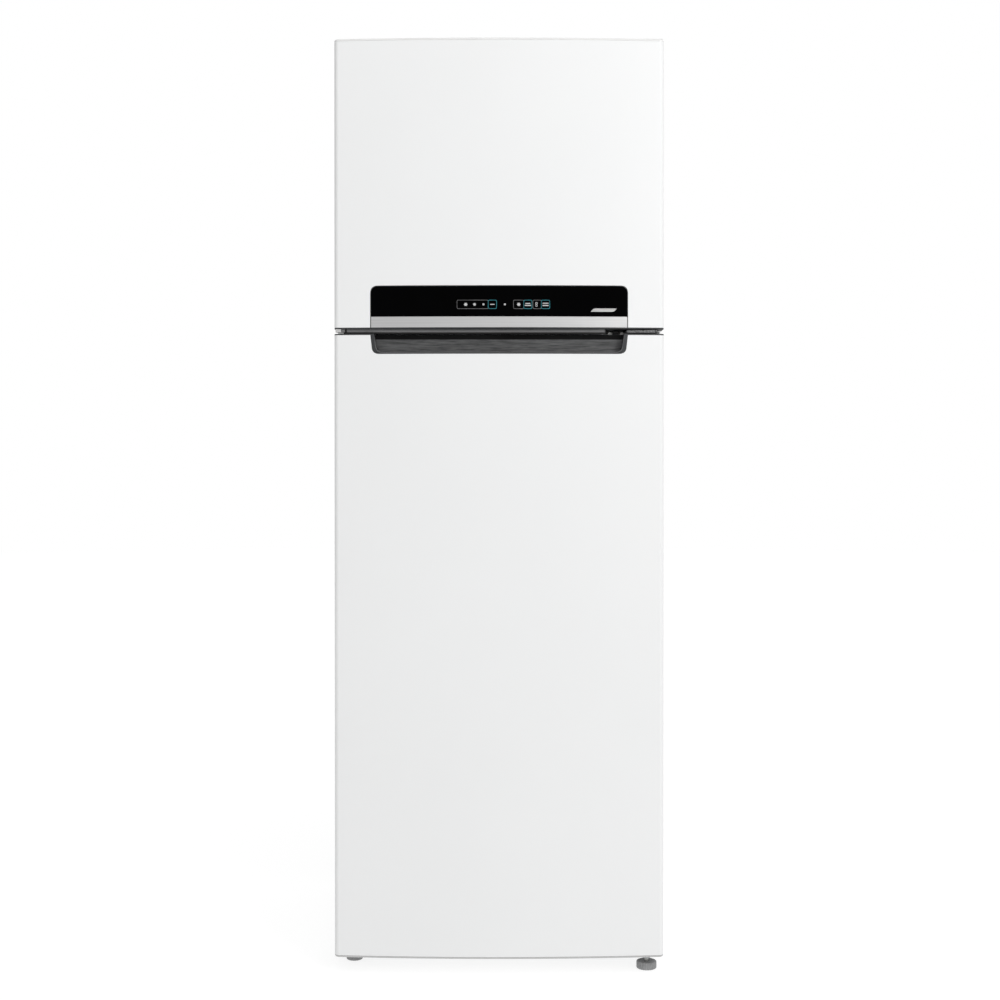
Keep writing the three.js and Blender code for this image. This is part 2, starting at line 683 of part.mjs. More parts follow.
// ---------- Freezer door ----------
const freezerDoor = subgroup(refrigerator, [0, DOOR_BACK, FREEZER_DOOR.bottom]);
{
  const height = FREEZER_DOOR.top - FREEZER_DOOR.bottom;
  const z0 = CAP_DARK + GAP;
  const z1 = height - CAP_WHITE - GAP;
  const panelTop = PANEL.height;
  const panelCut = runBack(windowShape(PANEL.half + GAP, -5, panelTop + GAP, PANEL.corner), ...FRONT_CUT);
  piece(freezerDoor, "freezer_door_skin", cut(doorSkin(z0, z1), panelCut), WHITE_STEEL);

  const topPlug = [height - CAP_WHITE - PLUG, height - CAP_WHITE + 1];
  const topCap = cut(
    doorCap([height - CAP_WHITE, height], topPlug),
    centred(HALF, [-100, 10], [-5, height - CAP_WHITE - PLUG]),
  );
  piece(freezerDoor, "freezer_door_top_cap", topCap, WHITE_PLASTIC);

  // The lower cap also carries the control panel and holds the finger channel behind the strip.
  const housing = bowedSlab(PANEL.half, 0.8, 0, 1, panelTop, -34).intersect(
    runBack(windowShape(PANEL.half, 0, panelTop, PANEL.corner), -100, 0),
  );
  const seat = bowedSlab(PANEL.half - 1, -5, 3.3, CAP_DARK, panelTop - 1).intersect(
    runBack(windowShape(PANEL.half - 1, CAP_DARK, panelTop - 1, PANEL.corner - 1), -100, 0),
  );
  const channel = bowedSlab(212, 5.3, 0, -1, PANEL.stripTop, -38);
  const lowCap = cut(join(doorCap([0, CAP_DARK], [1, 17]), housing), seat, channel);
  piece(freezerDoor, "freezer_door_bottom_cap", lowCap, DARK_PLASTIC);

  const lens = PANEL.half - 1 - GAP;
  const stripBand = [CAP_DARK + GAP, PANEL.stripTop - GAP];
  piece(freezerDoor, "handle_strip", bowedSlab(lens, 0, 3, ...stripBand), SILVER);
  const glassTop = panelTop - 1 - GAP;
  const glass = bowedSlab(lens, 0.3, 3, PANEL.stripTop + GAP, glassTop).intersect(
    runBack(windowShape(lens, 0, glassTop, PANEL.corner - 1), -100, 0),
  );
  piece(freezerDoor, "control_panel_glass", glass, BLACK_GLASS);

  const foamBody = raised(doorOutline(SHEET + GAP, -LINER - GAP), 17 + GAP, height - CAP_WHITE - PLUG - GAP);
  const housingRoom = centred(PANEL.half + GAP, [-100, -34 + GAP], [0, panelTop + GAP]);
  piece(freezerDoor, "freezer_door_foam", cut(foamBody, housingRoom), FOAM);

  piece(freezerDoor, "freezer_door_liner", doorLiner(z0, z1, 226, 25, 443), LINER_WHITE);
  piece(freezerDoor, "freezer_door_gasket", gasket(4, 504), RUBBER);
  for (const [name, z] of [["freezer_bin_lower", 58], ["freezer_bin_upper", 262]]) {
    piece(freezerDoor, name, bin(197, 100, 84), CLEAR, [0, 0, z]);
  }
}

// ---------- Fridge door ----------
const fridgeDoor = subgroup(refrigerator, [0, DOOR_BACK, FRIDGE_DOOR.bottom]);
{
  const height = FRIDGE_DOOR.top - FRIDGE_DOOR.bottom;
  const z0 = CAP_WHITE + GAP;
  const z1 = height - CAP_DARK - GAP;
  const mouth = height - GRIP.depth; // the front lip's height
  const gripCut = windowShape(GRIP.half + GAP, height, mouth - GAP, GRIP.corner, GRIP.taper);
  piece(fridgeDoor, "fridge_door_skin", cut(doorSkin(z0, z1), runBack(gripCut, ...FRONT_CUT)), WHITE_STEEL);

  piece(fridgeDoor, "fridge_door_bottom_cap", doorCap([0, CAP_WHITE], [CAP_WHITE - 1, PLUG]), WHITE_PLASTIC);

  // The upper cap is also the grip: a rim in the skin's opening and a trough behind the front lip.
  const floor = height - GRIP.trough;
  const rim = bowedSlab(GRIP.half, 0.3, 0, mouth, height - 1, GRIP.back).intersect(
    runBack(windowShape(GRIP.half, height, mouth, GRIP.corner, GRIP.taper), -100, 0),
  );
  const tub = bowedSlab(GRIP.half - 3, SHEET + GAP, 0, floor, height - 1, GRIP.back);
  const hollow = runBack(
    windowShape(GRIP.half - 6, height + 5, mouth + 1.5, GRIP.corner - 2, GRIP.taper + 1),
    -100,
    GRIP.back - 2.5,
  );
  const trough = bowedSlab(GRIP.half - 12, SHEET + GAP + 2.5, 0, floor + 2.5, mouth + 12, GRIP.back - 2.5);
  const upperCap = join(doorCap([height - CAP_DARK, height], [height - 20, height - 1]), rim, tub);
  piece(fridgeDoor, "fridge_door_top_cap", cut(upperCap, hollow, trough), DARK_PLASTIC);

  const foamBody = raised(doorOutline(SHEET + GAP, -LINER - GAP), PLUG + GAP, height - 20 - GAP);
  const gripRoom = centred(GRIP.half + GAP, [-100, GRIP.back + GAP], [floor - GAP, height]);
  piece(fridgeDoor, "fridge_door_foam", cut(foamBody, gripRoom), FOAM);

  piece(fridgeDoor, "fridge_door_liner", doorLiner(z0, z1, 244, 54, 1090), LINER_WHITE);
  piece(fridgeDoor, "fridge_door_gasket", gasket(14, 1129), RUBBER);
  const bins = [["fridge_bin_lower", 86, 130], ["fridge_bin_middle", 448, 90], ["fridge_bin_upper", 768, 84]];
  for (const [name, z, tall] of bins) {
    piece(fridgeDoor, name, bin(215, 120, tall), CLEAR, [0, 0, z]);
  }
}

export default refrigerator;
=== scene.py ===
"""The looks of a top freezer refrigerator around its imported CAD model. Sizes are in millimetres."""
import math

import bmesh
import bpy
from mathutils import Matrix, Vector


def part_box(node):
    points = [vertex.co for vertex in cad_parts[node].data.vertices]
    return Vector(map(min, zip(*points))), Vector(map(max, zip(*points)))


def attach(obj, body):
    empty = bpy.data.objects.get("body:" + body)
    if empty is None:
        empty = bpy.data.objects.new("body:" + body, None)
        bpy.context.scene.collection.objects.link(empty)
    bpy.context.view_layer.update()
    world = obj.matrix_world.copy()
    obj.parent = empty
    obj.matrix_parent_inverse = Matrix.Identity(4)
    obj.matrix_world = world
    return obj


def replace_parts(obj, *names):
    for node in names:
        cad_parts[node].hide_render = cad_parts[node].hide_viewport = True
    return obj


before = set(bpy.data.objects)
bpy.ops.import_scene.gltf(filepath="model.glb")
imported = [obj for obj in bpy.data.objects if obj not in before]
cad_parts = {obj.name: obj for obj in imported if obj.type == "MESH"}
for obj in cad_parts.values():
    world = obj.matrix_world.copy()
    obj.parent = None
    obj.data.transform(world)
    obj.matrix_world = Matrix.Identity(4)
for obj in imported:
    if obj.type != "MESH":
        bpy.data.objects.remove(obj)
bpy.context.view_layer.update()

MM = 0.001


# ---------------------------------------------------------------- geometry
def place(node):
    """A CAD node's lowest and highest corner, in millimetres."""
    low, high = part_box(node)
    return Vector(low) / MM, Vector(high) / MM


def finish(name, bm, material, body, angle=40):
    """Turns a bmesh in millimetres into a shaded piece that rides on a body."""
    bmesh.ops.recalc_face_normals(bm, faces=bm.faces)
    mesh = bpy.data.meshes.new(name)
    bm.to_mesh(mesh)
    bm.free()
    mesh.transform(Matrix.Scale(MM, 4))
    mesh.materials.append(material)
    mesh.shade_smooth()
    mesh.set_sharp_from_angle(angle=math.radians(angle))
    piece = bpy.data.objects.new(name, mesh)
    bpy.context.scene.collection.objects.link(piece)
    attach(piece, body)
    return piece


def add_block(bm, x, y, z, bevel=0.5, segments=2):
    """A box between two values along each axis, with rounded edges."""
    verts = bmesh.ops.create_cube(bm, size=1.0)["verts"]
    size = [b - a for a, b in (x, y, z)]
    mid = Vector([(a + b) / 2 for a, b in (x, y, z)])
    for v in verts:
        v.co = Vector([c * s for c, s in zip(v.co, size)]) + mid
    if bevel:
        edges = list({e for v in verts for e in v.link_edges})
        bmesh.ops.bevel(bm, geom=edges, offset=bevel, segments=segments, affect="EDGES", profile=0.5)


def blocks(name, boxes, material, body, bevel=0.5, segments=2):
    bm = bmesh.new()
    for x, y, z in boxes:
        add_block(bm, x, y, z, bevel, segments)
    return finish(name, bm, material, body)


AXES = {"x": (1, 2, 0), "y": (0, 2, 1), "z": (0, 1, 2)}


def at(axis, u, v, along):
    """A point from its two coordinates across an axis and its place along it."""
    p = [0.0, 0.0, 0.0]
    for index, value in zip(AXES[axis], (u, v, along)):
        p[index] = value
    return Vector(p)


def bridge(bm, low, high):
    """The faces between two closed rings of vertices."""
    count = len(low)
    for i in range(count):
        j = (i + 1) % count
        bm.faces.new((low[i], low[j], high[j], high[i]))


def add_prism(bm, outline, axis, low, high, bevel=0.0, segments=2):
    """An outline across an axis, run along it. Its two rims are rounded by bevel."""
    rings = [[bm.verts.new(at(axis, u, v, h)) for u, v in outline] for h in (low, high)]
    bridge(bm, *rings)
    ends = [bm.faces.new(ring) for ring in rings]
    if bevel:
        edges = list({e for f in ends for e in f.edges})
        bmesh.ops.bevel(bm, geom=edges, offset=bevel, segments=segments, affect="EDGES", profile=0.5)


def prism(name, outline, axis, low, high, material, body, bevel=0.0, segments=2):
    bm = bmesh.new()
    add_prism(bm, outline, axis, low, high, bevel, segments)
    return finish(name, bm, material, body)


def rounded(u, v, radius, steps=6):
    """A rounded rectangle between two values of u and v."""
    points = []
    corners = ((u[1], v[1], 0), (u[0], v[1], 90), (u[0], v[0], 180), (u[1], v[0], 270))
    for cu, cv, start in corners:
        du = -radius if cu == u[1] else radius
        dv = -radius if cv == v[1] else radius
        for i in range(steps + 1):
            a = math.radians(start + 90 * i / steps)
            points.append((cu + du + radius * math.cos(a), cv + dv + radius * math.sin(a)))
    return points


def turns_of(count):
    """The angles of a full turn in equal steps."""
    return [2 * math.pi * i / count for i in range(count)]


def circle(u, v, radius, count=24):
    return [(u + radius * math.cos(a), v + radius * math.sin(a)) for a in turns_of(count)]


def add_lathe(bm, profile, axis, centre, count=32, lobes=0, depth=0.0):
    """Turns a profile of (radius, along) round an axis. Lobes make ribs of the given depth."""
    cu, cv = centre
    rings = []
    for radius, along in profile:
        if radius < 1e-6:
            rings.append([bm.verts.new(at(axis, cu, cv, along))])
            continue
        ring = []
        for i in range(count):
            a = 2 * math.pi * i / count
            r = radius - (depth * (0.5 + 0.5 * math.cos(lobes * a)) if lobes else 0.0)
            ring.append(bm.verts.new(at(axis, cu + r * math.cos(a), cv + r * math.sin(a), along)))
        rings.append(ring)
    for low, high in zip(rings, rings[1:]):
        for i in range(count):
            j = (i + 1) % count
            a, b = low[i % len(low)], low[j % len(low)]
            c, d = high[j % len(high)], high[i % len(high)]
            corners = [p for k, p in enumerate((a, b, c, d)) if p not in (a, b, c, d)[:k]]
            if len(corners) > 2:
                bm.faces.new(corners)


def turned(name, profile, axis, centres, material, body, count=32, angle=40, **ribs):
    bm = bmesh.new()
    for centre in centres:
        add_lathe(bm, profile, axis, centre, count, **ribs)
    return finish(name, bm, material, body, angle)


def bent(points, radius, steps=5):
    """A path with its corners rounded."""
    points = [Vector(p) for p in points]
    path = [points[0]]
    for before, corner, after in zip(points, points[1:], points[2:]):
        into, out = (before - corner), (after - corner)
        reach = min(radius, into.length / 2.01, out.length / 2.01)
        start, end = corner + into.normalized() * reach, corner + out.normalized() * reach
        for i in range(steps + 1):
            t = i / steps
            path.append(start * (1 - t) ** 2 + corner * 2 * t * (1 - t) + end * t**2)
    path.append(points[-1])
    return path


def add_tube(bm, path, radius, sides=10, loop=False):
    """A round tube along a path of points, with closed ends."""
    path = [Vector(p) for p in path]
    count = len(path)
    normal, rings = None, []
    for i, point in enumerate(path):
        if loop:
            along = path[(i + 1) % count] - path[i - 1]
        else:
            along = path[min(i + 1, count - 1)] - path[max(i - 1, 0)]
        along.normalize()
        if normal is None:
            normal = along.orthogonal().normalized()
        normal = (normal - along * normal.dot(along)).normalized()
        side = along.cross(normal)
        ring = []
        for k in range(sides):
            a = 2 * math.pi * k / sides
            ring.append(bm.verts.new(point + (normal * math.cos(a) + side * math.sin(a)) * radius))
        rings.append(ring)
    for low, high in zip(rings, rings[1:]):
        bridge(bm, low, high)
    if loop:
        low, high = rings[-1], rings[0]
        shift = min(range(sides), key=lambda s: (high[s].co - low[0].co).length)
        bridge(bm, low, high[shift:] + high[:shift])
    else:
        bm.faces.new(rings[0])
        bm.faces.new(rings[-1])


def tube(name, paths, radius, material, body, sides=10):
    bm = bmesh.new()
    for path in paths:
        add_tube(bm, path, radius, sides)
    return finish(name, bm, material, body)


def add_frame(bm, profile, half, z, radius):
    """A closed profile of (inset, y) points, swept round an upright rounded rectangle that faces Y."""
    loops = []
    for inset, y in profile:
        across, upright = (-half + inset, half - inset), (z[0] + inset, z[1] - inset)
        outline = rounded(across, upright, max(radius - inset, 0.6), 8)
        loops.append([bm.verts.new((u, y, v)) for u, v in outline])
    for low, high in zip(loops, loops[1:] + loops[:1]):
        bridge(bm, low, high)


# A screw's head as shares of its radius and its height.
SCREW_HEAD = ((0, 0), (1, 0), (1, 0.35), (0.86, 0.8), (0.5, 1), (0.42, 1), (0.26, 0.4), (0, 0.3))


def add_screw(bm, point, axis, out, radius=4.0, height=2.2):
    """A pan head screw with a cross recess, standing out along an axis by out, +1 or -1."""
    u, v, base = (point[i] for i in AXES[axis])
    profile = [(radius * across, base + out * height * up) for across, up in SCREW_HEAD]
    add_lathe(bm, profile, axis, (u, v), 20)


def screws(name, points, axis, out, material, body, radius=4.0, height=2.2):
    bm = bmesh.new()
    for point in points:
        add_screw(bm, point, axis, out, radius, height)
    return finish(name, bm, material, body, 30)


# ---------------------------------------------------------------- materials
class Graph:
    """A material's node graph around one Principled shader."""

    def __init__(self, name):
        self.material = bpy.data.materials.new(name)
        self.material.use_nodes = True
        self.nodes = self.material.node_tree.nodes
        self.links = self.material.node_tree.links
        self.shader = self.nodes["Principled BSDF"]
        self.coord = self.nodes.new("ShaderNodeTexCoord").outputs["Object"]

    def set(self, **values):
        for key, value in values.items():
            self.shader.inputs[key.replace("_", " ")].default_value = value

    def noise(self, scale, stretch=(1, 1, 1), detail=3.0, rough=0.55):
        mapping = self.nodes.new("ShaderNodeMapping")
        mapping.inputs["Scale"].default_value = stretch
        self.links.new(self.coord, mapping.inputs["Vector"])
        texture = self.nodes.new("ShaderNodeTexNoise")
        texture.inputs["Scale"].default_value = scale
        texture.inputs["Detail"].default_value = detail
        texture.inputs["Roughness"].default_value = rough
        self.links.new(mapping.outputs["Vector"], texture.inputs["Vector"])
        return texture.outputs["Fac"]

    def ramp(self, value, low, high, start=0.35, end=0.65):
        """Spreads a value between two numbers."""
        node = self.nodes.new("ShaderNodeMapRange")
        for key, number in zip(("From Min", "From Max", "To Min", "To Max"), (start, end, low, high)):
            node.inputs[key].default_value = number
        self.links.new(value, node.inputs["Value"])
        return node.outputs["Result"]

    def mix(self, value, first, second):
        """A colour between two colours."""
        node = self.nodes.new("ShaderNodeMix")
        node.data_type = "RGBA"
        self.links.new(value, node.inputs[0])
        for index, colour in ((6, first), (7, second)):
            node.inputs[index].default_value = (*colour, 1.0)
        return node.outputs[2]

    def to(self, key, output):
        self.links.new(output, self.shader.inputs[key])

    def bump(self, height, strength, distance):
        node = self.nodes.new("ShaderNodeBump")
        node.inputs["Strength"].default_value = strength
        node.inputs["Distance"].default_value = distance * MM
        self.links.new(height, node.inputs["Height"])
        self.links.new(node.outputs["Normal"], self.shader.inputs["Normal"])


def shade(colour, factor):
    return tuple(min(1.0, c * factor) for c in colour)


def surface(
    name, colour, rough, metal=0.0, spec=0.5, tone=0.03, patch=14, grain=900, bump=0.12, depth=0.05,
    rough_spread=0.05, coat=0.0, glow=None,
):
    """A solid finish: its colour and roughness vary in soft patches, with a fine grain in the normal."""
    g = Graph(name)
    g.set(Metallic=metal, Specular_IOR_Level=spec, Coat_Weight=coat, Coat_Roughness=0.08)
    patches = g.noise(patch, detail=4.0)
    fine = g.noise(grain, detail=2.0)
    soft = g.ramp(patches, 0.0, 1.0)
    g.to("Base Color", g.mix(soft, shade(colour, 1 - tone), shade(colour, 1 + tone)))
    g.to("Roughness", g.ramp(fine, rough - rough_spread, rough + rough_spread))
    g.bump(fine, bump, depth)
    if glow:
        g.set(Emission_Color=(*glow[0], 1.0), Emission_Strength=glow[1])
    return g.material


def clear(name, colour, rough, ior, grain=300, bump=0.05, transmission=0.92):
    """A see-through finish with faint waves and handling haze."""
    g = Graph(name)
    g.set(Transmission_Weight=transmission, IOR=ior)
    haze = g.noise(24, detail=5.0)
    fine = g.noise(grain)
    g.to("Base Color", g.mix(g.ramp(haze, 0.0, 1.0), shade(colour, 0.97), colour))
    g.to("Roughness", g.ramp(haze, rough, rough + 0.05))
    g.bump(fine, bump, 0.05)
    return g.material


def brushed(name, colour, rough, metal, stretch, low, high, bump=0.3):
    """Metal, or foil that looks like it, with streaks along one direction."""
    g = Graph(name)
    g.set(Metallic=metal)
    coarse = g.noise(1.0, stretch, 6.0, 0.6)
    fine = g.noise(6.0, stretch)
    g.to("Base Color", g.mix(g.ramp(coarse, 0.0, 1.0, 0.3, 0.7), shade(colour, low), shade(colour, high)))
    g.to("Roughness", g.ramp(fine, rough - 0.06, rough + 0.08))
    g.bump(fine, bump, 0.04)
    return g.material


ENAMEL = surface(
    "white_enamel", (0.86, 0.865, 0.865), 0.34,
    spec=0.42, tone=0.006, patch=3, grain=700, bump=0.05, depth=0.03,
)
CASE_ENAMEL = surface(
    "case_enamel", (0.84, 0.845, 0.845), 0.42,
    spec=0.4, tone=0.01, patch=4, grain=1400, bump=0.25, depth=0.06,
)
WHITE_PLASTIC = surface(
    "white_plastic", (0.80, 0.80, 0.79), 0.38,
    tone=0.02, grain=1600, bump=0.15, depth=0.03,
)
# A grey copy of the white plastic. On the fridge door's bottom trim it is painted shade, the darker line
# under the door's bottom edge; the mullion end cap takes it as its own grey.
GREY_CAP_AND_SHADE_PLASTIC = surface(
    "grey_cap_plastic_and_painted_shade", (0.52, 0.52, 0.515), 0.4,
    grain=1600, bump=0.15, depth=0.03,
)
LINER_WHITE = surface(
    "liner_polystyrene", (0.83, 0.845, 0.85), 0.32,
    tone=0.012, patch=6, grain=500, bump=0.03, depth=0.03, rough_spread=0.02, coat=0.1,
)
DARK_PLASTIC = surface(
    "dark_grey_plastic", (0.032, 0.034, 0.036), 0.42,
    spec=0.4, tone=0.12, grain=2600, bump=0.3, depth=0.04,
)
BEAD_PLASTIC = surface(
    "bead_grey_plastic", (0.11, 0.112, 0.113), 0.35,
    tone=0.08, grain=2600, bump=0.2, depth=0.03,
)
BLACK_GLASS = surface(
    "black_control_glass", (0.0006, 0.0006, 0.0007), 0.06,
    spec=0.02, tone=0.2, grain=160, bump=0.01, depth=0.02, rough_spread=0.02,
)
SILVER = brushed("silver_strip_foil", (0.62, 0.62, 0.62), 0.36, 0.85, (3, 3, 420), 0.94, 1.05, bump=0.08)
BADGE = brushed("badge_foil", (0.5, 0.5, 0.49), 0.4, 0.6, (30, 30, 500), 0.7, 1.25, bump=0.15)
BRUSHED_DARK = brushed(
    "brushed_dark_grip", (0.105, 0.106, 0.107), 0.38, 0.55, (34, 34, 360), 0.5, 1.55,
    bump=0.35,
)
# Near-black finish for painted shadow: the shade inside the top of the grip's recess, under the gap between
# the doors.
SHADOW_BLACK = surface(
    "painted_shadow_black_band", (0.009, 0.009, 0.009), 0.8,
    spec=0.1, tone=0.3, grain=1500, bump=0.3,
)
GREY_STEEL = surface(
    "pale_grey_steel", (0.86, 0.865, 0.87), 0.42,
    metal=0.3, tone=0.06, grain=1300, bump=0.2,
)
TRIM_GREY = surface("gap_trim_grey", (0.19, 0.192, 0.194), 0.45, tone=0.06, grain=1300, bump=0.2)
GALVANISED = surface(
    "galvanised_steel", (0.45, 0.46, 0.47), 0.42,
    metal=0.7, tone=0.07, patch=26, grain=420, bump=0.2, rough_spread=0.1,
)
ZINC = surface(
    "zinc_screw", (0.62, 0.62, 0.6), 0.3,
    metal=1.0, tone=0.1, patch=200, grain=1500, bump=0.2, depth=0.03, rough_spread=0.1,
)
BLACK_STEEL = surface(
    "black_painted_steel", (0.012, 0.012, 0.013), 0.38,
    tone=0.25, patch=40, bump=0.3, depth=0.08, rough_spread=0.08,
)
HINGE_STEEL = surface(
    "grey_painted_hinge_steel", (0.13, 0.13, 0.132), 0.4,
    tone=0.15, patch=40, bump=0.3, depth=0.08,
)
SPECKLED_CASTING = surface(
    "speckled_casting", (0.23, 0.232, 0.234), 0.45,
    metal=0.2, tone=0.75, patch=330, bump=0.6, depth=0.2,
)
COPPER = surface(
    "copper_tube", (0.72, 0.33, 0.18), 0.3,
    metal=1.0, tone=0.22, patch=60, bump=0.15, depth=0.03, rough_spread=0.12,
)
ALUMINIUM = brushed("aluminium_fin", (0.66, 0.67, 0.68), 0.35, 0.95, (40, 40, 400), 0.85, 1.1)
RUBBER = surface(
    "gasket_rubber", (0.62, 0.62, 0.61), 0.7,
    spec=0.3, tone=0.05, patch=30, grain=2200, bump=0.25,
)
BLACK_RUBBER = surface(
    "black_rubber", (0.02, 0.02, 0.02), 0.78,
    spec=0.3, tone=0.2, grain=2200, bump=0.4, depth=0.06,
)
BLACK_PLASTIC = surface(
    "black_plastic", (0.02, 0.02, 0.021), 0.5,
    spec=0.4, tone=0.15, grain=2200, bump=0.3,
)
FOOT_GREY = surface(
    "foot_grey_plastic", (0.3, 0.302, 0.305), 0.55,
    spec=0.3, tone=0.1, patch=120, grain=1600, bump=0.3, depth=0.06,
)
FOAM = surface(
    "foam_yellow", (0.72, 0.62, 0.36), 0.95,
    spec=0.1, tone=0.08, grain=500, bump=0.5, depth=0.3,
)
CLEAR = clear("clear_polystyrene", (0.97, 0.985, 0.99), 0.05, 1.22)
FROST = clear(
    "frosted_polystyrene", (0.93, 0.96, 0.98), 0.35, 1.25,
    grain=1200, bump=0.3, transmission=0.7,
)
SHELF_GLASS = clear("shelf_glass", (0.86, 0.96, 0.93), 0.02, 1.45)
LAMP = surface("lamp_lens", (0.9, 0.9, 0.88), 0.5, tone=0.02, grain=600, glow=((1.0, 0.97, 0.9), 1.2))
TEAL = surface("teal_mark", (0.003, 0.125, 0.15), 0.5, tone=0.3, patch=150, glow=((0.0, 0.17, 0.2), 0.08))
MARK_GREY = surface("grey_mark", (0.085, 0.085, 0.085), 0.5, tone=0.35, patch=90)
# Pale marks glow faintly. On the blank compressor label that glow is painted light, since a label is no lamp.
MARK_WHITE = surface(
    "pale_mark", (0.45, 0.45, 0.45), 0.5,
    tone=0.1, patch=200, glow=((0.7, 0.7, 0.7), 0.1),
)
WIRE_WHITE = surface("wire_white", (0.7, 0.7, 0.68), 0.5, tone=0.1)


# ---------------------------------------------------------------- CAD nodes that stay
# Bends in degrees: faces are merged below the first and shaded smoothly below the second, and edges are
# rounded above the third.
MERGE_ANGLE, SMOOTH_ANGLE, ROUND_ANGLE = 0.2, 38, 40


def smoothing_nodes():
    """A modifier's node group that shades smoothly, but keeps edges sharper than a given angle."""
    group = bpy.data.node_groups.new("smooth_by_angle", "GeometryNodeTree")
    group.interface.new_socket("Geometry", in_out="INPUT", socket_type="NodeSocketGeometry")
    group.interface.new_socket("Geometry", in_out="OUTPUT", socket_type="NodeSocketGeometry")
    n, link = group.nodes, group.links.new
    start, end = n.new("NodeGroupInput"), n.new("NodeGroupOutput")
    faces, edges = n.new("GeometryNodeSetShadeSmooth"), n.new("GeometryNodeSetShadeSmooth")
    faces.domain, edges.domain = "FACE", "EDGE"
    edges.inputs["Shade Smooth"].default_value = False
    angle, limit = n.new("GeometryNodeInputMeshEdgeAngle"), n.new("FunctionNodeCompare")
    limit.operation = "GREATER_THAN"
    limit.inputs[1].default_value = math.radians(SMOOTH_ANGLE)
    link(start.outputs[0], faces.inputs["Geometry"])
    link(faces.outputs[0], edges.inputs["Geometry"])
    link(angle.outputs["Unsigned Angle"], limit.inputs[0])
    link(limit.outputs[0], edges.inputs["Selection"])
    link(edges.outputs[0], end.inputs[0])
    return group


SMOOTHING = smoothing_nodes()


def dress(nodes, material, bevel=0.4, segments=2):
    """Gives CAD nodes their material, and rounds and smooths their edges."""
    for node in nodes.split():
        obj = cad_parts[node]
        obj.data.materials.clear()
        obj.data.materials.append(material)
        if bevel:
            merge = obj.modifiers.new("merge_flat_faces", "DECIMATE")
            merge.decimate_type = "DISSOLVE"
            merge.angle_limit = math.radians(MERGE_ANGLE)
            edge = obj.modifiers.new("round_edges", "BEVEL")
            edge.width = bevel * MM
            edge.segments = segments
            edge.limit_method = "ANGLE"
            edge.angle_limit = math.radians(ROUND_ANGLE)
        smooth = obj.modifiers.new("smooth_by_angle", "NODES")
        smooth.node_group = SMOOTHING


dress("outer_case", CASE_ENAMEL, 0.8, 3)
dress("freezer_door_skin fridge_door_skin", ENAMEL, 0.35)
dress("back_panel bottom_deck compressor_base", GALVANISED, 0.3)
dress("top_hinge_bracket bottom_hinge_bracket", GALVANISED, 0.5)
dress("mullion_cover", GREY_STEEL, 0.3)
dress("middle_hinge_bracket", HINGE_STEEL, 0.5)
dress("top_hinge_cover light_switch light_switch_plunger air_knob", WHITE_PLASTIC, 0.6, 3)
dress("ice_maker_frame humidity_slider", WHITE_PLASTIC, 0.6, 3)
dress("ice_tray", WHITE_PLASTIC, 0.8)
dress("freezer_liner fridge_liner freezer_door_liner fridge_door_liner", LINER_WHITE, 1.6, 3)
dress("freezer_duct_cover fridge_air_duct fan_blade", LINER_WHITE, 0.4)
dress("freezer_door_bottom_cap fridge_door_top_cap", DARK_PLASTIC, 0.35)
dress("control_panel_glass", BLACK_GLASS, 0.35, 3)
dress("handle_strip", SILVER, 0.5, 3)
dress("foam_core freezer_door_foam fridge_door_foam", FOAM, 0)
dress("drain_pan cord_gland fan_motor", BLACK_PLASTIC, 0.7)
dress("rear_roller_left rear_roller_right", BLACK_PLASTIC, 1.0, 3)
dress("rear_roller_axle left_foot_stud right_foot_stud", ZINC, 0.4)
dress("evaporator", ALUMINIUM, 0)
dress("ice_box crisper_drawer chiller_drawer", CLEAR, 0.7)
dress("freezer_bin_lower freezer_bin_upper fridge_bin_lower fridge_bin_middle fridge_bin_upper", CLEAR, 0.8)
dress("freezer_shelf shelf_lower shelf_middle shelf_upper crisper_cover", SHELF_GLASS, 0.5)

# ---------------------------------------------------------------- doors
DOOR_BACK = place("freezer_door_skin")[1].y
BOW = 13.0
HALF = 300.0
CORNER = 9.0
SIDE_THICKNESS = 57.0


def front_at(x):
    """The Y of a door's bowed front."""
    return DOOR_BACK - SIDE_THICKNESS - BOW + BOW * (x / HALF) ** 2


def door_outline(inset, steps=72, corner_steps=10):
    """A door's outline seen from above, moved in from its edges."""
    corner_x = HALF - CORNER
    corner_y = front_at(corner_x) + CORNER
    radius = max(CORNER - inset, 0.8)
    points = [(HALF - inset, DOOR_BACK - inset), (-HALF + inset, DOOR_BACK - inset)]
    for side, start in ((-1, 180), (1, 270)):
        if side == 1:
            for i in range(1, steps):
                x = -corner_x + 2 * corner_x * i / steps
                points.append((x, front_at(x) + inset))
        for i in range(corner_steps + 1):
            a = math.radians(start + 90 * i / corner_steps)
            points.append((side * corner_x + radius * math.cos(a), corner_y + radius * math.sin(a)))
    return points


def end_cap(name, node, body, edge, inner, material):
    """A door's end cap with a rolled outer edge, from inner, where the skin starts, to the door's edge."""
    bm = bmesh.new()
    roll = abs(edge - inner) - 0.2
    way = 1 if edge > inner else -1
    levels = [(inner, 0.0)]
    levels += [
        (edge - way * roll * (1 - math.sin(a)), roll * (1 - math.cos(a)))
        for a in (math.radians(d) for d in range(0, 91, 15))
    ]
    rings = [[bm.verts.new((x, y, z)) for x, y in door_outline(inset)] for z, inset in levels]
    for low, high in zip(rings, rings[1:]):
        bridge(bm, low, high)
    bm.faces.new(rings[0])
    bm.faces.new(rings[-1])
    piece = finish(name, bm, material, body, 50)
    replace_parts(piece, node)
    return piece


freezer_low, freezer_high = place("freezer_door_skin")
fridge_low, fridge_high = place("fridge_door_skin")
CAP_GAP = 0.25
end_cap(
    "freezer_door_top_trim", "freezer_door_top_cap", "freezer_door",
    place("freezer_door_top_cap")[1].z, freezer_high.z + CAP_GAP, WHITE_PLASTIC,
)
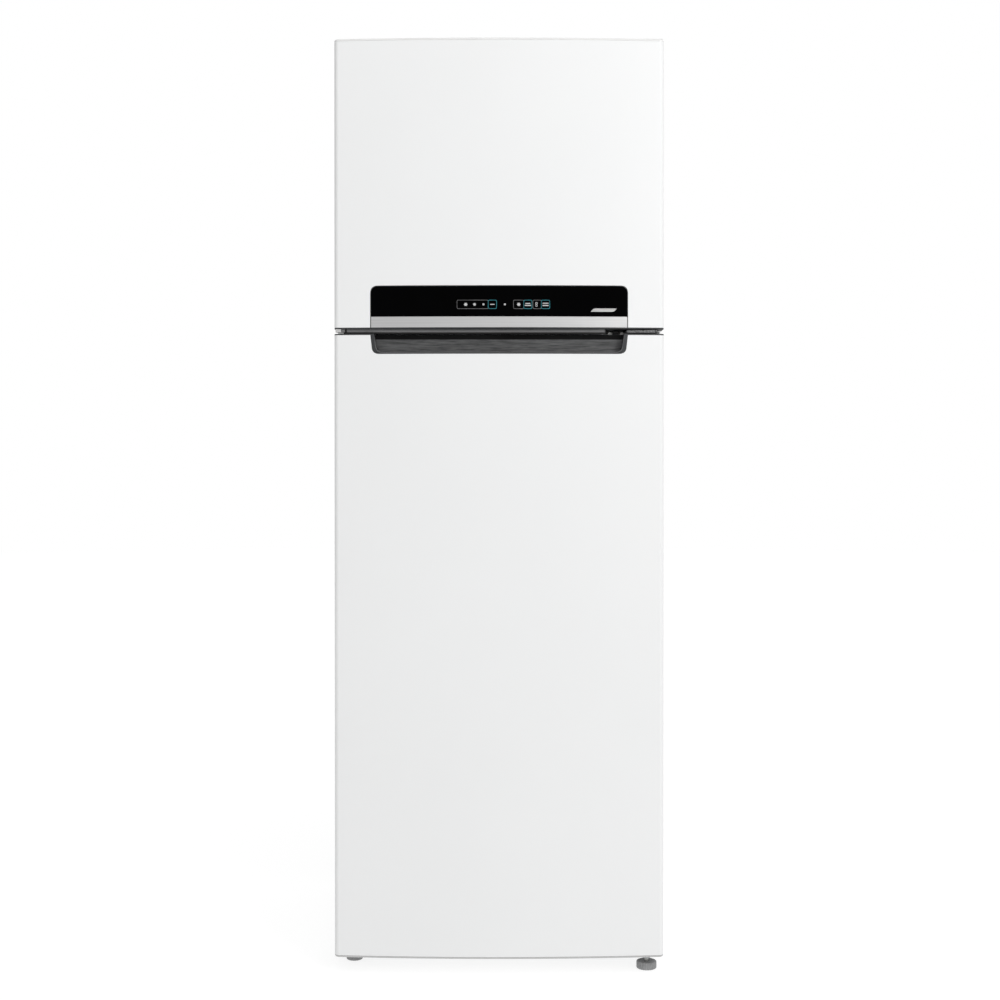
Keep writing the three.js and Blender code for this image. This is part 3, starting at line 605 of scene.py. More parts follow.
# The bottom trim takes the grey copy of the white plastic as painted shade under the door's bottom edge,
# while the top trim stays white.
end_cap(
    "fridge_door_bottom_trim", "fridge_door_bottom_cap", "fridge_door",
    place("fridge_door_bottom_cap")[0].z, fridge_low.z - CAP_GAP, GREY_CAP_AND_SHADE_PLASTIC,
)


def gasket(name, node, body):
    """A soft magnetic seal: a fat lip with a bellows fold behind it."""
    low, high = place(node)
    depth = high.y - low.y
    width = 18.0
    shape = (
        (3.0, 0.0), (2.0, 0.12), (4.4, 0.22), (4.4, 0.34), (1.4, 0.42), (0.2, 0.55), (0.0, 0.8), (0.9, 0.95),
        (2.6, 1.0), (14.0, 1.0), (16.6, 0.96), (17.9, 0.84), (17.9, 0.62), (16.4, 0.46), (13.4, 0.36),
        (13.4, 0.24), (15.6, 0.12), (15.0, 0.0),
    )
    profile = [(inset, low.y + depth * y) for inset, y in shape]
    bm = bmesh.new()
    add_frame(bm, profile, high.x, (low.z, high.z), width * 0.35)
    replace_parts(finish(name, bm, RUBBER, body, 60), node)


gasket("freezer_door_seal", "freezer_door_gasket", "freezer_door")
gasket("fridge_door_seal", "fridge_door_gasket", "fridge_door")

# ---------------------------------------------------------------- control panel marks
GLASS_RECESS = 0.3
MARK_Z = 1219.6
MARK_HEIGHT = 16.4
MARK_LINE = 0.95


def on_glass(x, lift=0.0):
    """The Y just outside the glass."""
    return front_at(x) + GLASS_RECESS - 0.02 - lift


def add_on_glass(bm, outline, thickness=0.14):
    """A thin printed or lit shape that follows the glass."""
    rings = [[bm.verts.new((x, on_glass(x, lift), z)) for x, z in outline] for lift in (0.0, thickness)]
    bridge(bm, *rings)
    bm.faces.new(rings[0])
    bm.faces.new(rings[1])


def add_box_line(bm, x, z, radius=2.6, width=MARK_LINE, thickness=0.14, steps=5):
    """The outline of a rounded box on the glass."""
    outer = rounded(x, z, radius, steps)
    inner = rounded((x[0] + width, x[1] - width), (z[0] + width, z[1] - width), radius - width * 0.7, steps)
    loops = []
    for outline, lift in ((outer, 0.0), (outer, thickness), (inner, thickness), (inner, 0.0)):
        loops.append([bm.verts.new((u, on_glass(u, lift), v)) for u, v in outline])
    for low, high in zip(loops, loops[1:] + loops[:1]):
        bridge(bm, low, high)


def flower(x, z, radius, petals=6, count=36):
    """A soft star, the outline of a frost icon."""
    points = []
    for i in range(count):
        a = 2 * math.pi * i / count
        r = radius * (0.86 + 0.14 * math.cos(petals * a))
        points.append((x + r * math.cos(a), z + r * math.sin(a)))
    return points


# Where the marks lie across the panel: boxes by their ends, icons by their middle and radius.
GROUP_BOXES = ((-76.7, -19.4), (25.5, 45.1), (60.7, 76.9))
KEY_BOXES = ((-20.3, -4.1), (44.2, 59.9), (76.0, 92.2))
FROST_ICONS = ((-60.5, 3.3), (-44.6, 2.8), (-28.4, 2.2), (35.5, 3.4))
DOT_X, DOT_RADIUS = 10.4, 1.8
# The bars inside the keys: their ends, then their lowest and highest edge about the marks' middle.
KEY_BARS = (
    (-16.4, -8.2, -0.8, 0.8),
    (47.4, 56.6, 0.9, 2.5),
    (46.4, 57.8, -2.8, -0.9),
    (78.6, 89.6, 1.3, 2.9),
    (78.6, 89.6, -2.9, -1.0),
)
box_z = (MARK_Z - MARK_HEIGHT / 2, MARK_Z + MARK_HEIGHT / 2)
grey = bmesh.new()
for x in GROUP_BOXES:
    add_box_line(grey, x, box_z)
finish("display_group_outlines", grey, MARK_GREY, "freezer_door")
teal = bmesh.new()
for x in KEY_BOXES:
    add_box_line(teal, x, box_z, width=MARK_LINE * 1.15, thickness=0.2)
finish("display_key_outlines", teal, TEAL, "freezer_door")
pale = bmesh.new()
for x, radius in FROST_ICONS:
    add_on_glass(pale, flower(x, MARK_Z, radius))
add_on_glass(pale, circle(DOT_X, MARK_Z, DOT_RADIUS, 20))
for x0, x1, z0, z1 in KEY_BARS:
    add_on_glass(pale, rounded((x0, x1), (MARK_Z + z0, MARK_Z + z1), 0.7, 3))
finish("display_icons", pale, MARK_WHITE, "freezer_door")
ring_icon = bmesh.new()
for z in (-1.9, 2.1):
    add_box_line(ring_icon, (65.6, 69.6), (MARK_Z + z - 2.1, MARK_Z + z + 2.1), 1.9, 0.8)
finish("display_can_icon", ring_icon, MARK_WHITE, "freezer_door")
badge = bmesh.new()
slanted_badge = [
    (166.0, 1206.6), (204.6, 1206.6), (208.0, 1207.2), (210.2, 1208.6),
    (213.4, 1212.6), (174.8, 1212.6), (171.4, 1212.0), (169.2, 1210.4),
]
add_on_glass(badge, slanted_badge, 0.2)
finish("blank_badge", badge, BADGE, "freezer_door")

# ---------------------------------------------------------------- recessed grip
grip_low, grip_high = place("fridge_door_top_cap")
GRIP_BACK = DOOR_BACK - 36.5
GRIP_HALF, GRIP_TOP_HALF = 221.0, 226.8
lip_z = grip_high.z - 36.4
back_top, back_step, back_foot = grip_high.z - 2.2, lip_z + 11.8, grip_low.z + 3.5
half_outline = [
    (GRIP_TOP_HALF, back_top), (GRIP_TOP_HALF, back_step), (GRIP_HALF, back_step), (GRIP_HALF, back_foot),
]
plate = half_outline + [(-x, z) for x, z in reversed(half_outline)]
prism("grip_back_plate", plate, "y", GRIP_BACK - 0.7, GRIP_BACK - 0.05, BRUSHED_DARK, "fridge_door")
# Painted shadow: a near-black band across the top of the grip's back plate, where the recess falls into shade
# under the gap.
blocks(
    "grip_painted_shadow_band",
    [((-226.4, 226.4), (GRIP_BACK - 1.6, GRIP_BACK - 0.75), (grip_high.z - 8.7, grip_high.z - 0.4))],
    SHADOW_BLACK, "fridge_door", 0.3, 1,
)
RIM_TOP_HALF, RIM_FOOT_HALF, RIM_CORNER = 227.6, 224.6, 12.0
RIM_FOOT = lip_z + 2.5
bead_path = [(-RIM_TOP_HALF, back_top)]
for side in (-1, 1):
    for i in range(9):
        a = math.radians((180 if side < 0 else 270) + 90 * i / 8)
        u = side * (RIM_FOOT_HALF - RIM_CORNER) + RIM_CORNER * math.cos(a)
        bead_path.append((u, RIM_FOOT + RIM_CORNER + RIM_CORNER * math.sin(a)))
    if side < 0:
        bead_path += [(-200 + 20 * i, RIM_FOOT) for i in range(21)]
bead_path.append((RIM_TOP_HALF, back_top))
bead_path = [(x, front_at(x) + 1.1, z) for x, z in bead_path]
tube("grip_rim_bead", [bead_path], 0.85, BEAD_PLASTIC, "fridge_door", 8)

# ---------------------------------------------------------------- middle hinge and the doors' gap
gap_mid = (fridge_high.z + freezer_low.z) / 2
BOLT_BASE = -241.0
bolt_profile = [
    (radius, BOLT_BASE - out)
    for radius, out in (
        (0, 0), (6.2, 0), (6.2, 1.2), (4.4, 2.0), (4.2, 5.2), (3.4, 6.0), (1.8, 6.0), (1.4, 4.4), (0, 4.4),
    )
]
bolt_spots = [(x, gap_mid) for x in (205.2, 227.6)]
turned("middle_hinge_bolts", bolt_profile, "y", bolt_spots, ZINC, "cabinet", 24, 30)
casting = [
    (233.0, -303.0), (282.5, -303.0), (284.5, -301.0), (284.5, -282.0), (273.5, -282.0), (273.5, -262.5),
    (233.0, -262.5),
]
casting_z = (grip_high.z + 2.4, grip_high.z + 7.9)
prism("middle_hinge_casting", casting, "z", *casting_z, SPECKLED_CASTING, "cabinet", 0.8)
HINGE_X, HINGE_Y = 284.0, -272.0
mullion_low, mullion_high = place("mullion_cover")
TRIM_FRONT, TRIM_START, TRIM_END = GRIP_BACK - 17.0, -277.0, 193.0
trim_low, trim_high = grip_high.z + 3.2, grip_high.z + 8.8
blocks(
    "mullion_gap_trim",
    [
        ((TRIM_START, TRIM_END), (TRIM_FRONT, TRIM_FRONT + 2.0), (trim_low, trim_high)),
        ((TRIM_START, TRIM_END), (TRIM_FRONT + 1.0, mullion_high.y), (trim_low + 1.5, trim_low + 2.9)),
        ((-287.5, -280.9), (TRIM_FRONT - 1.0, TRIM_FRONT + 5.0), (trim_low, trim_high)),
    ],
    TRIM_GREY, "cabinet", 0.4, 2,
)
blocks(
    "mullion_end_cap",
    [((-297.5, -287.6), (TRIM_FRONT - 4.0, TRIM_FRONT + 5.0), (trim_low - 0.4, trim_high))],
    GREY_CAP_AND_SHADE_PLASTIC, "cabinet", 0.7, 3,
)
blocks(
    "mullion_gap_seal",
    [
        ((TRIM_START, TRIM_END), (TRIM_FRONT + 0.3, TRIM_FRONT + 1.8), (grip_high.z + 0.7, trim_low - 0.05)),
        ((-280.8, -277.1), (TRIM_FRONT, TRIM_FRONT + 6.0), (grip_high.z + 0.7, trim_high)),
    ],
    BLACK_RUBBER, "cabinet", 0.3, 2,
)
plug_y, plug_z = (mullion_low.y - 0.6, mullion_high.y + 0.8), (mullion_low.z, mullion_high.z)
end_plugs = [((x - 2.6, x + 2.6), plug_y, plug_z) for x in (-286.4, 289.6)]
blocks("mullion_end_plugs", end_plugs, BLACK_RUBBER, "cabinet", 0.4, 2)


def bushing(name, z0, z1, body):
    """A nylon ring round a hinge pin."""
    profile = [(4.15, z0), (7.0, z0), (7.6, z0 + 0.4), (7.6, z1 - 0.4), (7.0, z1), (4.15, z1), (4.15, z0)]
    turned(name, profile, "z", [(HINGE_X, HINGE_Y)], WHITE_PLASTIC, body)


cover_low, cover_high = place("top_hinge_cover")
line_x, line_z = (cover_low.x + 10, cover_high.x - 10), (cover_high.z - 1.0, cover_high.z - 0.05)
panel_lines = [(line_x, (y, y + 1.2), line_z) for y in (-216.0, -190.0)]
blocks("hinge_cover_panel_line", panel_lines, TRIM_GREY, "cabinet", 0.2, 1)
doors_top, doors_foot = place("freezer_door_top_cap")[1].z, place("fridge_door_bottom_cap")[0].z
top_bracket_high = place("top_hinge_bracket")[1].z
bushing("fridge_door_top_bushing", grip_high.z + 0.05, grip_high.z + 2.6, "fridge_door")
bushing("freezer_door_bottom_bushing", grip_high.z + 6.5, grip_high.z + 8.95, "freezer_door")
bushing("freezer_door_top_bushing", doors_top + 0.02, top_bracket_high - 2.6, "freezer_door")
bushing("fridge_door_bottom_bushing", doors_foot - 1.15, doors_foot - 0.05, "fridge_door")

# ---------------------------------------------------------------- feet
THREAD_START, THREAD_PITCH = 15, 1.25
for side, node, ribs in (("left", "left_foot_pad", 20), ("right", "right_foot_pad", 24)):
    low, high = place(node)
    mid = ((low.x + high.x) / 2, (low.y + high.y) / 2)
    r, top = (high.x - low.x) / 2, high.z
    profile = [(0, 0), (r - 2.0, 0), (r - 0.9, 0.5), (r, 1.7), (r, top - 1.6), (r - 0.5, top - 0.5)]
    profile += [(r - 1.6, top), (5.2, top), (4.4, top - 0.6), (4.4, 4.2), (0, 4.2)]
    pad = f"{side}_foot_ribbed_pad"
    piece = turned(pad, profile, "z", [mid], FOOT_GREY, f"foot_{side}", ribs * 8, lobes=ribs, depth=1.1)
    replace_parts(piece, node)
    stud_high = place(f"{side}_foot_stud")[1]
    turns = int((stud_high.z - THREAD_START - 1) / THREAD_PITCH)
    thread = [(4.0 if i % 2 else 3.55, THREAD_START + i * THREAD_PITCH / 2) for i in range(turns * 2 + 1)]
    thread = [(0, THREAD_START)] + thread + [(0, thread[-1][1])]
    thread = [(radius * 1.012, z) for radius, z in thread]
    turned(f"{side}_foot_thread", thread, "z", [mid], ZINC, f"foot_{side}", 24)

# ---------------------------------------------------------------- cabinet's back and machine bay
panel_high = place("back_panel")[1]
rim = [(x, panel_high.y, z) for x in (-286.0, 286.0) for z in range(262, 1690, 202)]
rim += [(x, panel_high.y, z) for x in (-143.0, 0.0, 143.0) for z in (236.0, panel_high.z - 12)]
screws("back_panel_screws", rim, "y", 1, ZINC, "cabinet", 3.8, 2.0)
plug = [(0, -0.4), (15, -0.4), (15, 0.6), (13.5, 1.2), (5, 1.2), (4.2, 0.5), (0, 0.5)]
plug = [(radius, panel_high.y + out) for radius, out in plug]
plug_spots = ((-170, 1560), (170, 1560), (-170, 420), (170, 420))
turned("foam_filling_plugs", plug, "y", plug_spots, WHITE_PLASTIC, "cabinet", 40)
label = ((-70, 70), (panel_high.y, panel_high.y + 0.25), (1250, 1345))
blocks("blank_rating_label", [label], WHITE_PLASTIC, "cabinet", 0.1, 1)
BEAD = [(0.0, -0.3), (3.0, 1.5), (7.0, 1.9), (11.0, 1.5), (14.0, -0.3)]
bead = [(u, panel_high.y + v) for u, v in BEAD]
bm = bmesh.new()
for low, high in ((300, 820), (880, 1650)):
    for inset in (0, 34):
        add_frame(bm, bead, 250 - inset, (low + inset, high - inset), 40 - inset / 2)
finish("back_panel_beads", bm, GALVANISED, "cabinet")

comp_low, comp_high = place("compressor")
comp_x, comp_y = (comp_low.x + comp_high.x) / 2, (comp_low.y + comp_high.y) / 2
SHELL_BASE, DOME_BASE = comp_low.z + 5, comp_low.z + 79
DOME_HEIGHT = comp_high.z - DOME_BASE
# The shell is turned as a round pot and then widened along X. Its dome is a superellipse.
SHELL_RADIUS, SHELL_WIDENING, DOME_POWER = 71, 1.25, 2.4
bm = bmesh.new()
shell = [
    (0, SHELL_BASE), (60, SHELL_BASE), (65, SHELL_BASE + 1.4), (69, SHELL_BASE + 5), (70.6, SHELL_BASE + 12),
    (SHELL_RADIUS, DOME_BASE - 30),
]
for i in range(17):
    up = 1 - (1 - i / 16) ** 1.8
    across = SHELL_RADIUS * (1 - up**DOME_POWER) ** (1 / DOME_POWER)
    shell.append((across, DOME_BASE + DOME_HEIGHT * up))
add_lathe(bm, shell, "z", (0, 0), 72)
for v in bm.verts:
    v.co = Vector((comp_x + v.co.x * SHELL_WIDENING, comp_y + v.co.y, v.co.z))
foot_plate = rounded((comp_x - 98, comp_x + 98), (comp_y - 62, comp_y + 62), 12)
add_prism(bm, foot_plate, "z", comp_low.z, comp_low.z + 6, 1.2)
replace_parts(finish("compressor_shell", bm, BLACK_STEEL, "cabinet"), "compressor")
SEAM_Z = comp_low.z + 78
seam = [(comp_x + 91.5 * math.cos(a), comp_y + 73.2 * math.sin(a)) for a in turns_of(72)]
prism("compressor_weld_seam", seam, "z", SEAM_Z, SEAM_Z + 5, BLACK_STEEL, "cabinet", 1.2)
blocks(
    "compressor_terminal_cover",
    [((4, 38), (comp_y - 30, comp_y + 30), (112, 170)), ((0, 6), (comp_y - 22, comp_y + 22), (120, 160))],
    BLACK_PLASTIC, "cabinet", 3.0, 4,
)
clip = [(2, comp_y - 34, 141), (-4, comp_y - 30, 141), (-4, comp_y + 30, 141), (2, comp_y + 34, 141)]
tube("compressor_cover_clip", [bent(clip, 6)], 1.2, ZINC, "cabinet", 8)
base, top = place("compressor_base")[0].z + 33.3, comp_low.z + 6
grommet = [
    (0, base), (12, base), (12.5, base + 2), (9.5, base + 5), (9.5, base + 9), (12.5, base + 12),
    (12, comp_low.z - 0.2), (0, comp_low.z - 0.2),
]
mount_spots = [(x, y) for x in (comp_x - 84, comp_x + 84) for y in (comp_y - 50, comp_y + 50)]
turned("compressor_grommets", grommet, "z", mount_spots, BLACK_RUBBER, "cabinet", 28, 50)
bolts = bmesh.new()
for x, y in mount_spots:
    add_prism(bolts, circle(x, y, 9, 28), "z", top + 0.1, top + 1.6, 0.3, 1)
    add_prism(bolts, circle(x, y, 6.2, 6), "z", top + 1.6, top + 7, 0.6, 2)
finish("compressor_bolts", bolts, ZINC, "cabinet", 30)
# The blank label takes the faintly glowing pale mark finish: painted light on a sticker.
label = ((comp_x - 28, comp_x + 28), (comp_y - 20, comp_y + 20), (comp_high.z - 0.9, comp_high.z + 0.3))
blocks("blank_compressor_label", [label], MARK_WHITE, "cabinet", 0.3, 2)

suction = [
    (comp_x + 80, comp_y + 40, 120), (comp_x + 112, comp_y + 56, 120), (comp_x + 128, comp_y + 58, 150),
    (comp_x + 128, comp_y + 20, 205), (comp_x + 60, comp_y - 40, 214), (40, 170, 214), (40, 170, 222),
]
# The discharge tube runs to and fro through the drain pan, so that its warmth dries the pan.
PAN_LEFT, PAN_RIGHT, PAN_LEVEL = -250, -60, 66
discharge = [(comp_x + 60, comp_y + 52, 100), (comp_x + 70, 312, 100), (-10, 312, 108), (-40, 300, 108)]
discharge += [(PAN_RIGHT, 296, 75), (PAN_LEFT, 296, PAN_LEVEL), (PAN_LEFT, 262, PAN_LEVEL)]
discharge += [(PAN_RIGHT, 262, PAN_LEVEL), (PAN_RIGHT, 228, PAN_LEVEL), (PAN_LEFT, 228, PAN_LEVEL)]
discharge += [(PAN_LEFT, 194, PAN_LEVEL), (-110, 194, PAN_LEVEL), (-96, 186, 120), (-96, 186, 222)]
process = [(comp_x - 60, comp_y + 50, 110), (comp_x - 76, comp_y + 66, 110), (comp_x - 84, comp_y + 70, 150)]
tubes = [bent(suction, 14), bent(discharge, 14), bent(process, 10)]
tube("refrigerant_tubes", tubes, 3.2, COPPER, "cabinet", 12)
DRIER_MIDDLE, DRIER_LEAN = (-70, 205, 150), 62
drier = [
    (0, -66), (3.2, -66), (3.4, -52), (10, -40), (11, -36), (11, 36), (10, 40), (3.4, 52), (3.2, 62), (0, 62),
]
bm = bmesh.new()
add_lathe(bm, drier, "z", (0, 0), 28)
lean = Matrix.Rotation(math.radians(DRIER_LEAN), 3, "Y")
bmesh.ops.rotate(bm, verts=bm.verts, cent=(0, 0, 0), matrix=lean)
bmesh.ops.translate(bm, verts=bm.verts, vec=DRIER_MIDDLE)
finish("filter_drier", bm, COPPER, "cabinet")
# The capillary: into the coil, four turns of it with a steady rise, and up out of it.
COIL_X, COIL_Y, COIL_RADIUS, COIL_TURNS, COIL_STEPS = -150, 185, 22, 4, 24
capillary = bent([(-128, 205, 120), (-128, 190, 145)], 4)
for i in range(COIL_STEPS * COIL_TURNS):
    a = 2 * math.pi * i / COIL_STEPS
    turn_x, turn_y = COIL_X + COIL_RADIUS * math.cos(a), COIL_Y + COIL_RADIUS * math.sin(a)
    capillary.append(Vector((turn_x, turn_y, 150 + a * 0.75)))
capillary += bent([(-128, 185, 175), (-128, 176, 200), (-128, 176, 222)], 8)
tube("capillary_coil", [capillary], 1.2, COPPER, "cabinet", 8)
spout = [(5.6, 222), (8, 222), (8, 130), (6.4, 122), (5.2, 122), (5.6, 130), (5.6, 222)]
turned("defrost_drain_spout", spout, "z", [(-225, 180)], BLACK_RUBBER, "cabinet")
dark_lead = [(10, comp_y - 12, 168), (0, comp_y - 20, 196), (-20, 168, 208), (-20, 152, 208)]
white_lead = [(14, comp_y - 6, 168), (6, comp_y - 14, 202), (-14, 170, 212), (-14, 152, 212)]
tube("compressor_leads_dark", [bent(dark_lead, 16)], 2.0, BLACK_PLASTIC, "cabinet")
tube("compressor_leads_white", [bent(white_lead, 16)], 1.8, WIRE_WHITE, "cabinet")
gland_low, gland_high = place("cord_gland")
gland_mid = ((gland_low.x + gland_high.x) / 2, (gland_low.z + gland_high.z) / 2)
GLAND_RING = ((8.0, 0.0), (10.2, 0.0), (10.6, 0.9), (10.2, 1.8), (8.0, 1.8), (8.0, 0.0))
bm = bmesh.new()
for i in range(4):
    y = gland_high.y - 13 + i * 3.4
    add_lathe(bm, [(radius, y + along) for radius, along in GLAND_RING], "y", gland_mid, 28)
finish("cord_gland_rings", bm, BLACK_RUBBER, "cabinet")
base_low = place("compressor_base")[0]
bay_spots = [(x, y, base_low.z + 33.2) for x in (-286, 286) for y in (170, 300)]
screws("bay_screws", bay_spots, "z", 1, ZINC, "cabinet", 4.2, 2.2)

# ---------------------------------------------------------------- freezer compartment
FACE, FAN_Z = place("freezer_duct_cover")[0].y, 1500
bm = bmesh.new()
for radius in (14, 27, 40, 53):
    ring = [(radius * math.cos(a), FACE + 1.5, FAN_Z + radius * math.sin(a)) for a in turns_of(60)]
    add_tube(bm, ring, 1.1, 8, loop=True)
for i in range(8):
    a = math.pi * i / 4 + 0.2
    spoke = [(r * math.cos(a), FACE + 1.4, FAN_Z + r * math.sin(a)) for r in (13.0, 57.5)]
    add_tube(bm, spoke, 1.1, 8)
GUARD_RIM = ((55.6, -1.2), (60, -1.2), (61, -0.6), (61, 0.2), (55.6, 0.2), (55.6, -1.2))
add_lathe(bm, [(radius, FACE + y) for radius, y in GUARD_RIM], "y", (0, FAN_Z), 64)
finish("fan_guard", bm, LINER_WHITE, "cabinet")
slats, slat_y, bar_y = [], (FACE + 0.2, FACE + 2.8), (FACE + 0.8, FACE + 2.2)
for x in (-160, -60, 60, 160):
    for low, high in ((1592, 1604), (1206, 1218)):
        middle = (low + high) / 2
        slats += [((x - 30 + 12 * i, x - 28.4 + 12 * i), slat_y, (low - 0.5, high + 0.5)) for i in range(6)]
        slats.append(((x - 35.5, x + 35.5), bar_y, (middle - 0.6, middle + 0.6)))
blocks("freezer_louvres", slats, LINER_WHITE, "cabinet", 0.2, 1)
rib_y = (FACE - 1.0, FACE + 0.3)
ribs = [((-215, 215), rib_y, (z, z + 2)) for z in (1438, 1566)]
ribs += [((x, x + 2), rib_y, (1232, 1398)) for x in range(-60, 220, 28)]
blocks("duct_cover_panel_ribs", ribs, LINER_WHITE, "cabinet", 0.5, 2)
KNOB_X, KNOB_Z, TICK_RADIUS = 150.0, 1530.0, 25
ticks = bmesh.new()
for i in range(7):
    a = math.radians(150 - 20 * i)
    u, v = KNOB_X + TICK_RADIUS * math.cos(a), KNOB_Z + TICK_RADIUS * math.sin(a)
    tall = 1.2 + 0.4 * i
    add_block(ticks, (u - 1.0, u + 1.0), (FACE - 0.25, FACE + 0.2), (v - tall, v + tall), 0.1, 1)
finish("air_dial_ticks", ticks, WIRE_WHITE, "cabinet")
pointer = ((KNOB_X - 0.8, KNOB_X + 0.8), (206.75, 207.2), (KNOB_Z + 3, KNOB_Z + 15))
blocks("air_dial_pointer", [pointer], BLACK_PLASTIC, "air_dial", 0.15, 1)
skirt = [(12, 213.4), (16, 213.8), (17.6, 215.6), (18.2, 219.6), (17.4, 221.2), (12, 221.2), (12, 213.4)]
turned("air_dial_skirt", skirt, "y", [(KNOB_X, KNOB_Z)], WHITE_PLASTIC, "air_dial", 96, lobes=32, depth=0.5)


def shelf_trims(node, half, front_half, low_z=2.4, high_z=4.2):
    """The moulded rails along a glass shelf's front and back edges, and the foil inlay in the front one."""
    low, high = place(node)
    front, back, front_x = low.y, high.y, (-front_half, front_half)
    bars = [
        (front_x, (front - 2.2, front + 9.0), (low.z - low_z, low.z - 0.05)),
        (front_x, (front - 2.2, front - 0.1), (low.z - low_z, high.z + high_z)),
        ((-half, half), (back - 8.0, back + 0.3), (high.z + 0.05, high.z + 6.0)),
    ]
    if high_z > 3:
        bars.append((front_x, (front - 2.2, front + 7.0), (high.z + 0.05, high.z + high_z - 1.6)))
    blocks(f"{node}_rails", bars, WHITE_PLASTIC, "cabinet", 0.9, 3)
    inlay = ((-front_half + 12, front_half - 12), (front - 2.55, front - 2.15), (low.z - 0.6, high.z + 1.6))
    blocks(f"{node}_front_inlay", [inlay], SILVER, "cabinet", 0.15, 1)


FRIDGE_SHELVES = ("shelf_lower", "shelf_middle", "shelf_upper", "crisper_cover")
FREEZER_WALL, FRIDGE_WALL = 231.6, 249.6
shelf_trims("freezer_shelf", 228, 225.5)
for node in FRIDGE_SHELVES:
    # The crisper's cover has a lower front edge, so that the drawers pass under it.
    shelf_trims(node, 246, 243.5, 2.2, 1.7 if node == "crisper_cover" else 4.2)

ledges = []
for node in ("freezer_shelf", *FRIDGE_SHELVES):
    low, high = place(node)
    wall = FREEZER_WALL if node == "freezer_shelf" else FRIDGE_WALL
    for side in (-1, 1):
        x = sorted((side * (wall - 7), side * wall))
        ledges.append((x, (low.y + 8, high.y - 2), (low.z - 6.5, low.z - 0.1)))
        ledges.append((x, (low.y + 2, low.y + 8), (low.z - 6.5, high.z + 5)))
blocks("shelf_ledges", ledges, LINER_WHITE, "cabinet", 1.2, 3)
ICE_X, ICE_Z, TRAY_FRONT, TRAY_LENGTH, TRAY_ROWS = -151.0, 1352.0, -117, 166, 6
walls = []
for i in range(1, TRAY_ROWS):
    y = TRAY_FRONT + TRAY_LENGTH * i / TRAY_ROWS
    for x in (ICE_X - 24, ICE_X + 24):
        walls.append(((x - 19.3, x + 19.3), (y - 1.0, y + 1.0), (ICE_Z - 10.3, ICE_Z + 7)))
blocks("ice_tray_dividers", walls, WHITE_PLASTIC, "ice_twister", 0.5, 2)
arrow = ((ICE_X - 1, ICE_X + 1), (-142.35, -141.9), (ICE_Z + 4, ICE_Z + 15))
blocks("ice_tray_arrow", [arrow], BLACK_PLASTIC, "ice_twister", 0.15, 1)


def open_box_rim(name, node, body, tall):
    """A thickened rim round an open box, tall along its front wall."""
    low, high = place(node)
    thick, top, lower = 3.2, high.z + 1.2, high.z - 3.0
    bars = [
        ((low.x, high.x), (low.y - 1.6, low.y + thick), (high.z - tall, top)),
        ((low.x, high.x), (high.y - thick, high.y), (lower, top)),
        ((low.x, low.x + thick), (low.y, high.y), (lower, top)),
        ((high.x - thick, high.x), (low.y, high.y), (lower, top)),
    ]
    blocks(name, bars, FROST, body, 0.8, 3)


open_box_rim("ice_box_rim", "ice_box", "ice_bin", 9)
open_box_rim("crisper_rim", "crisper_drawer", "crisper", 8)
open_box_rim("chiller_rim", "chiller_drawer", "chiller", 12)


def door_bin_rim(node, body, tall, ribs=3):
    """The rail and ribs on a door bin's wall that faces the compartment."""
    low, high = place(node)
    thick, top, lower = 3.4, high.z + 1.5, high.z - 4.0
    bars = [
        ((low.x, high.x), (high.y - thick, high.y + 1.8), (high.z - tall, top)),
        ((low.x, low.x + thick), (low.y + 2, high.y), (lower, top)),
        ((high.x - thick, high.x), (low.y + 2, high.y), (lower, top)),
    ]
    rib_x, rib_y = (low.x + 8, high.x - 8), (high.y - 0.4, high.y + 0.7)
    bars += [(rib_x, rib_y, (low.z + 9 + 8 * i, low.z + 11 + 8 * i)) for i in range(ribs)]
    blocks(f"{node}_rail", bars, FROST, body, 0.9, 3)
    inlay = ((low.x + 16, high.x - 16), (high.y + 1.75, high.y + 2.1), (high.z - tall + 5, high.z - 4))
    blocks(f"{node}_rail_inlay", [inlay], SILVER, body, 0.15, 1)


for node in ("freezer_bin_lower", "freezer_bin_upper"):
    door_bin_rim(node, "freezer_door", 14)
for node, count in (("fridge_bin_lower", 7), ("fridge_bin_middle", 3), ("fridge_bin_upper", 3)):
    door_bin_rim(node, "fridge_door", 16, count)

# ---------------------------------------------------------------- fridge compartment
duct_low, duct_high = place("fridge_air_duct")
slats, slat_y = [], (duct_low.y + 0.3, duct_low.y + 2.7)
for z in (60, 210, 250, 430, 470, 700, 740):
    slat_z = (duct_low.z + z - 0.4, duct_low.z + z + 8.4)
    for x in (-62, 62):
        slats += [((x - 25 + 10 * i, x - 23.6 + 10 * i), slat_y, slat_z) for i in range(6)]
blocks("air_duct_louvres", slats, LINER_WHITE, "cabinet", 0.2, 1)
inlay_y, inlay_z = (duct_low.y - 0.4, duct_low.y + 0.2), (duct_low.z + 24, duct_high.z - 24)
inlays = [((x, x + 6), inlay_y, inlay_z) for x in (-104, 98)]
blocks("air_duct_inlay", inlays, SILVER, "cabinet", 0.2, 1)
lens, lens_frame = rounded((-75, 75), (-62, 18), 14), rounded((-82, 82), (-69, 25), 18)
prism("lamp_lens", lens, "z", 1138.5, 1146.9, LAMP, "cabinet", 2.4, 4)
prism("lamp_frame", lens_frame, "z", 1142.2, 1146.95, WHITE_PLASTIC, "cabinet", 1.2, 3)
crisper_low = place("crisper_drawer")[0]
vent_y, vent_z = (crisper_low.y - 0.25, crisper_low.y + 0.1), (crisper_low.z + 193, crisper_low.z + 201)
vents = [((70 + 10.5 * i, 76.5 + 10.5 * i), vent_y, vent_z) for i in range(10)]
blocks("crisper_vent_slots", vents, BLACK_PLASTIC, "crisper", 0.08, 1)
slider_low, slider_high = place("humidity_slider")
grip_y, grip_z = (slider_low.y - 0.4, slider_low.y + 0.3), (slider_low.z + 2, slider_high.z - 2)
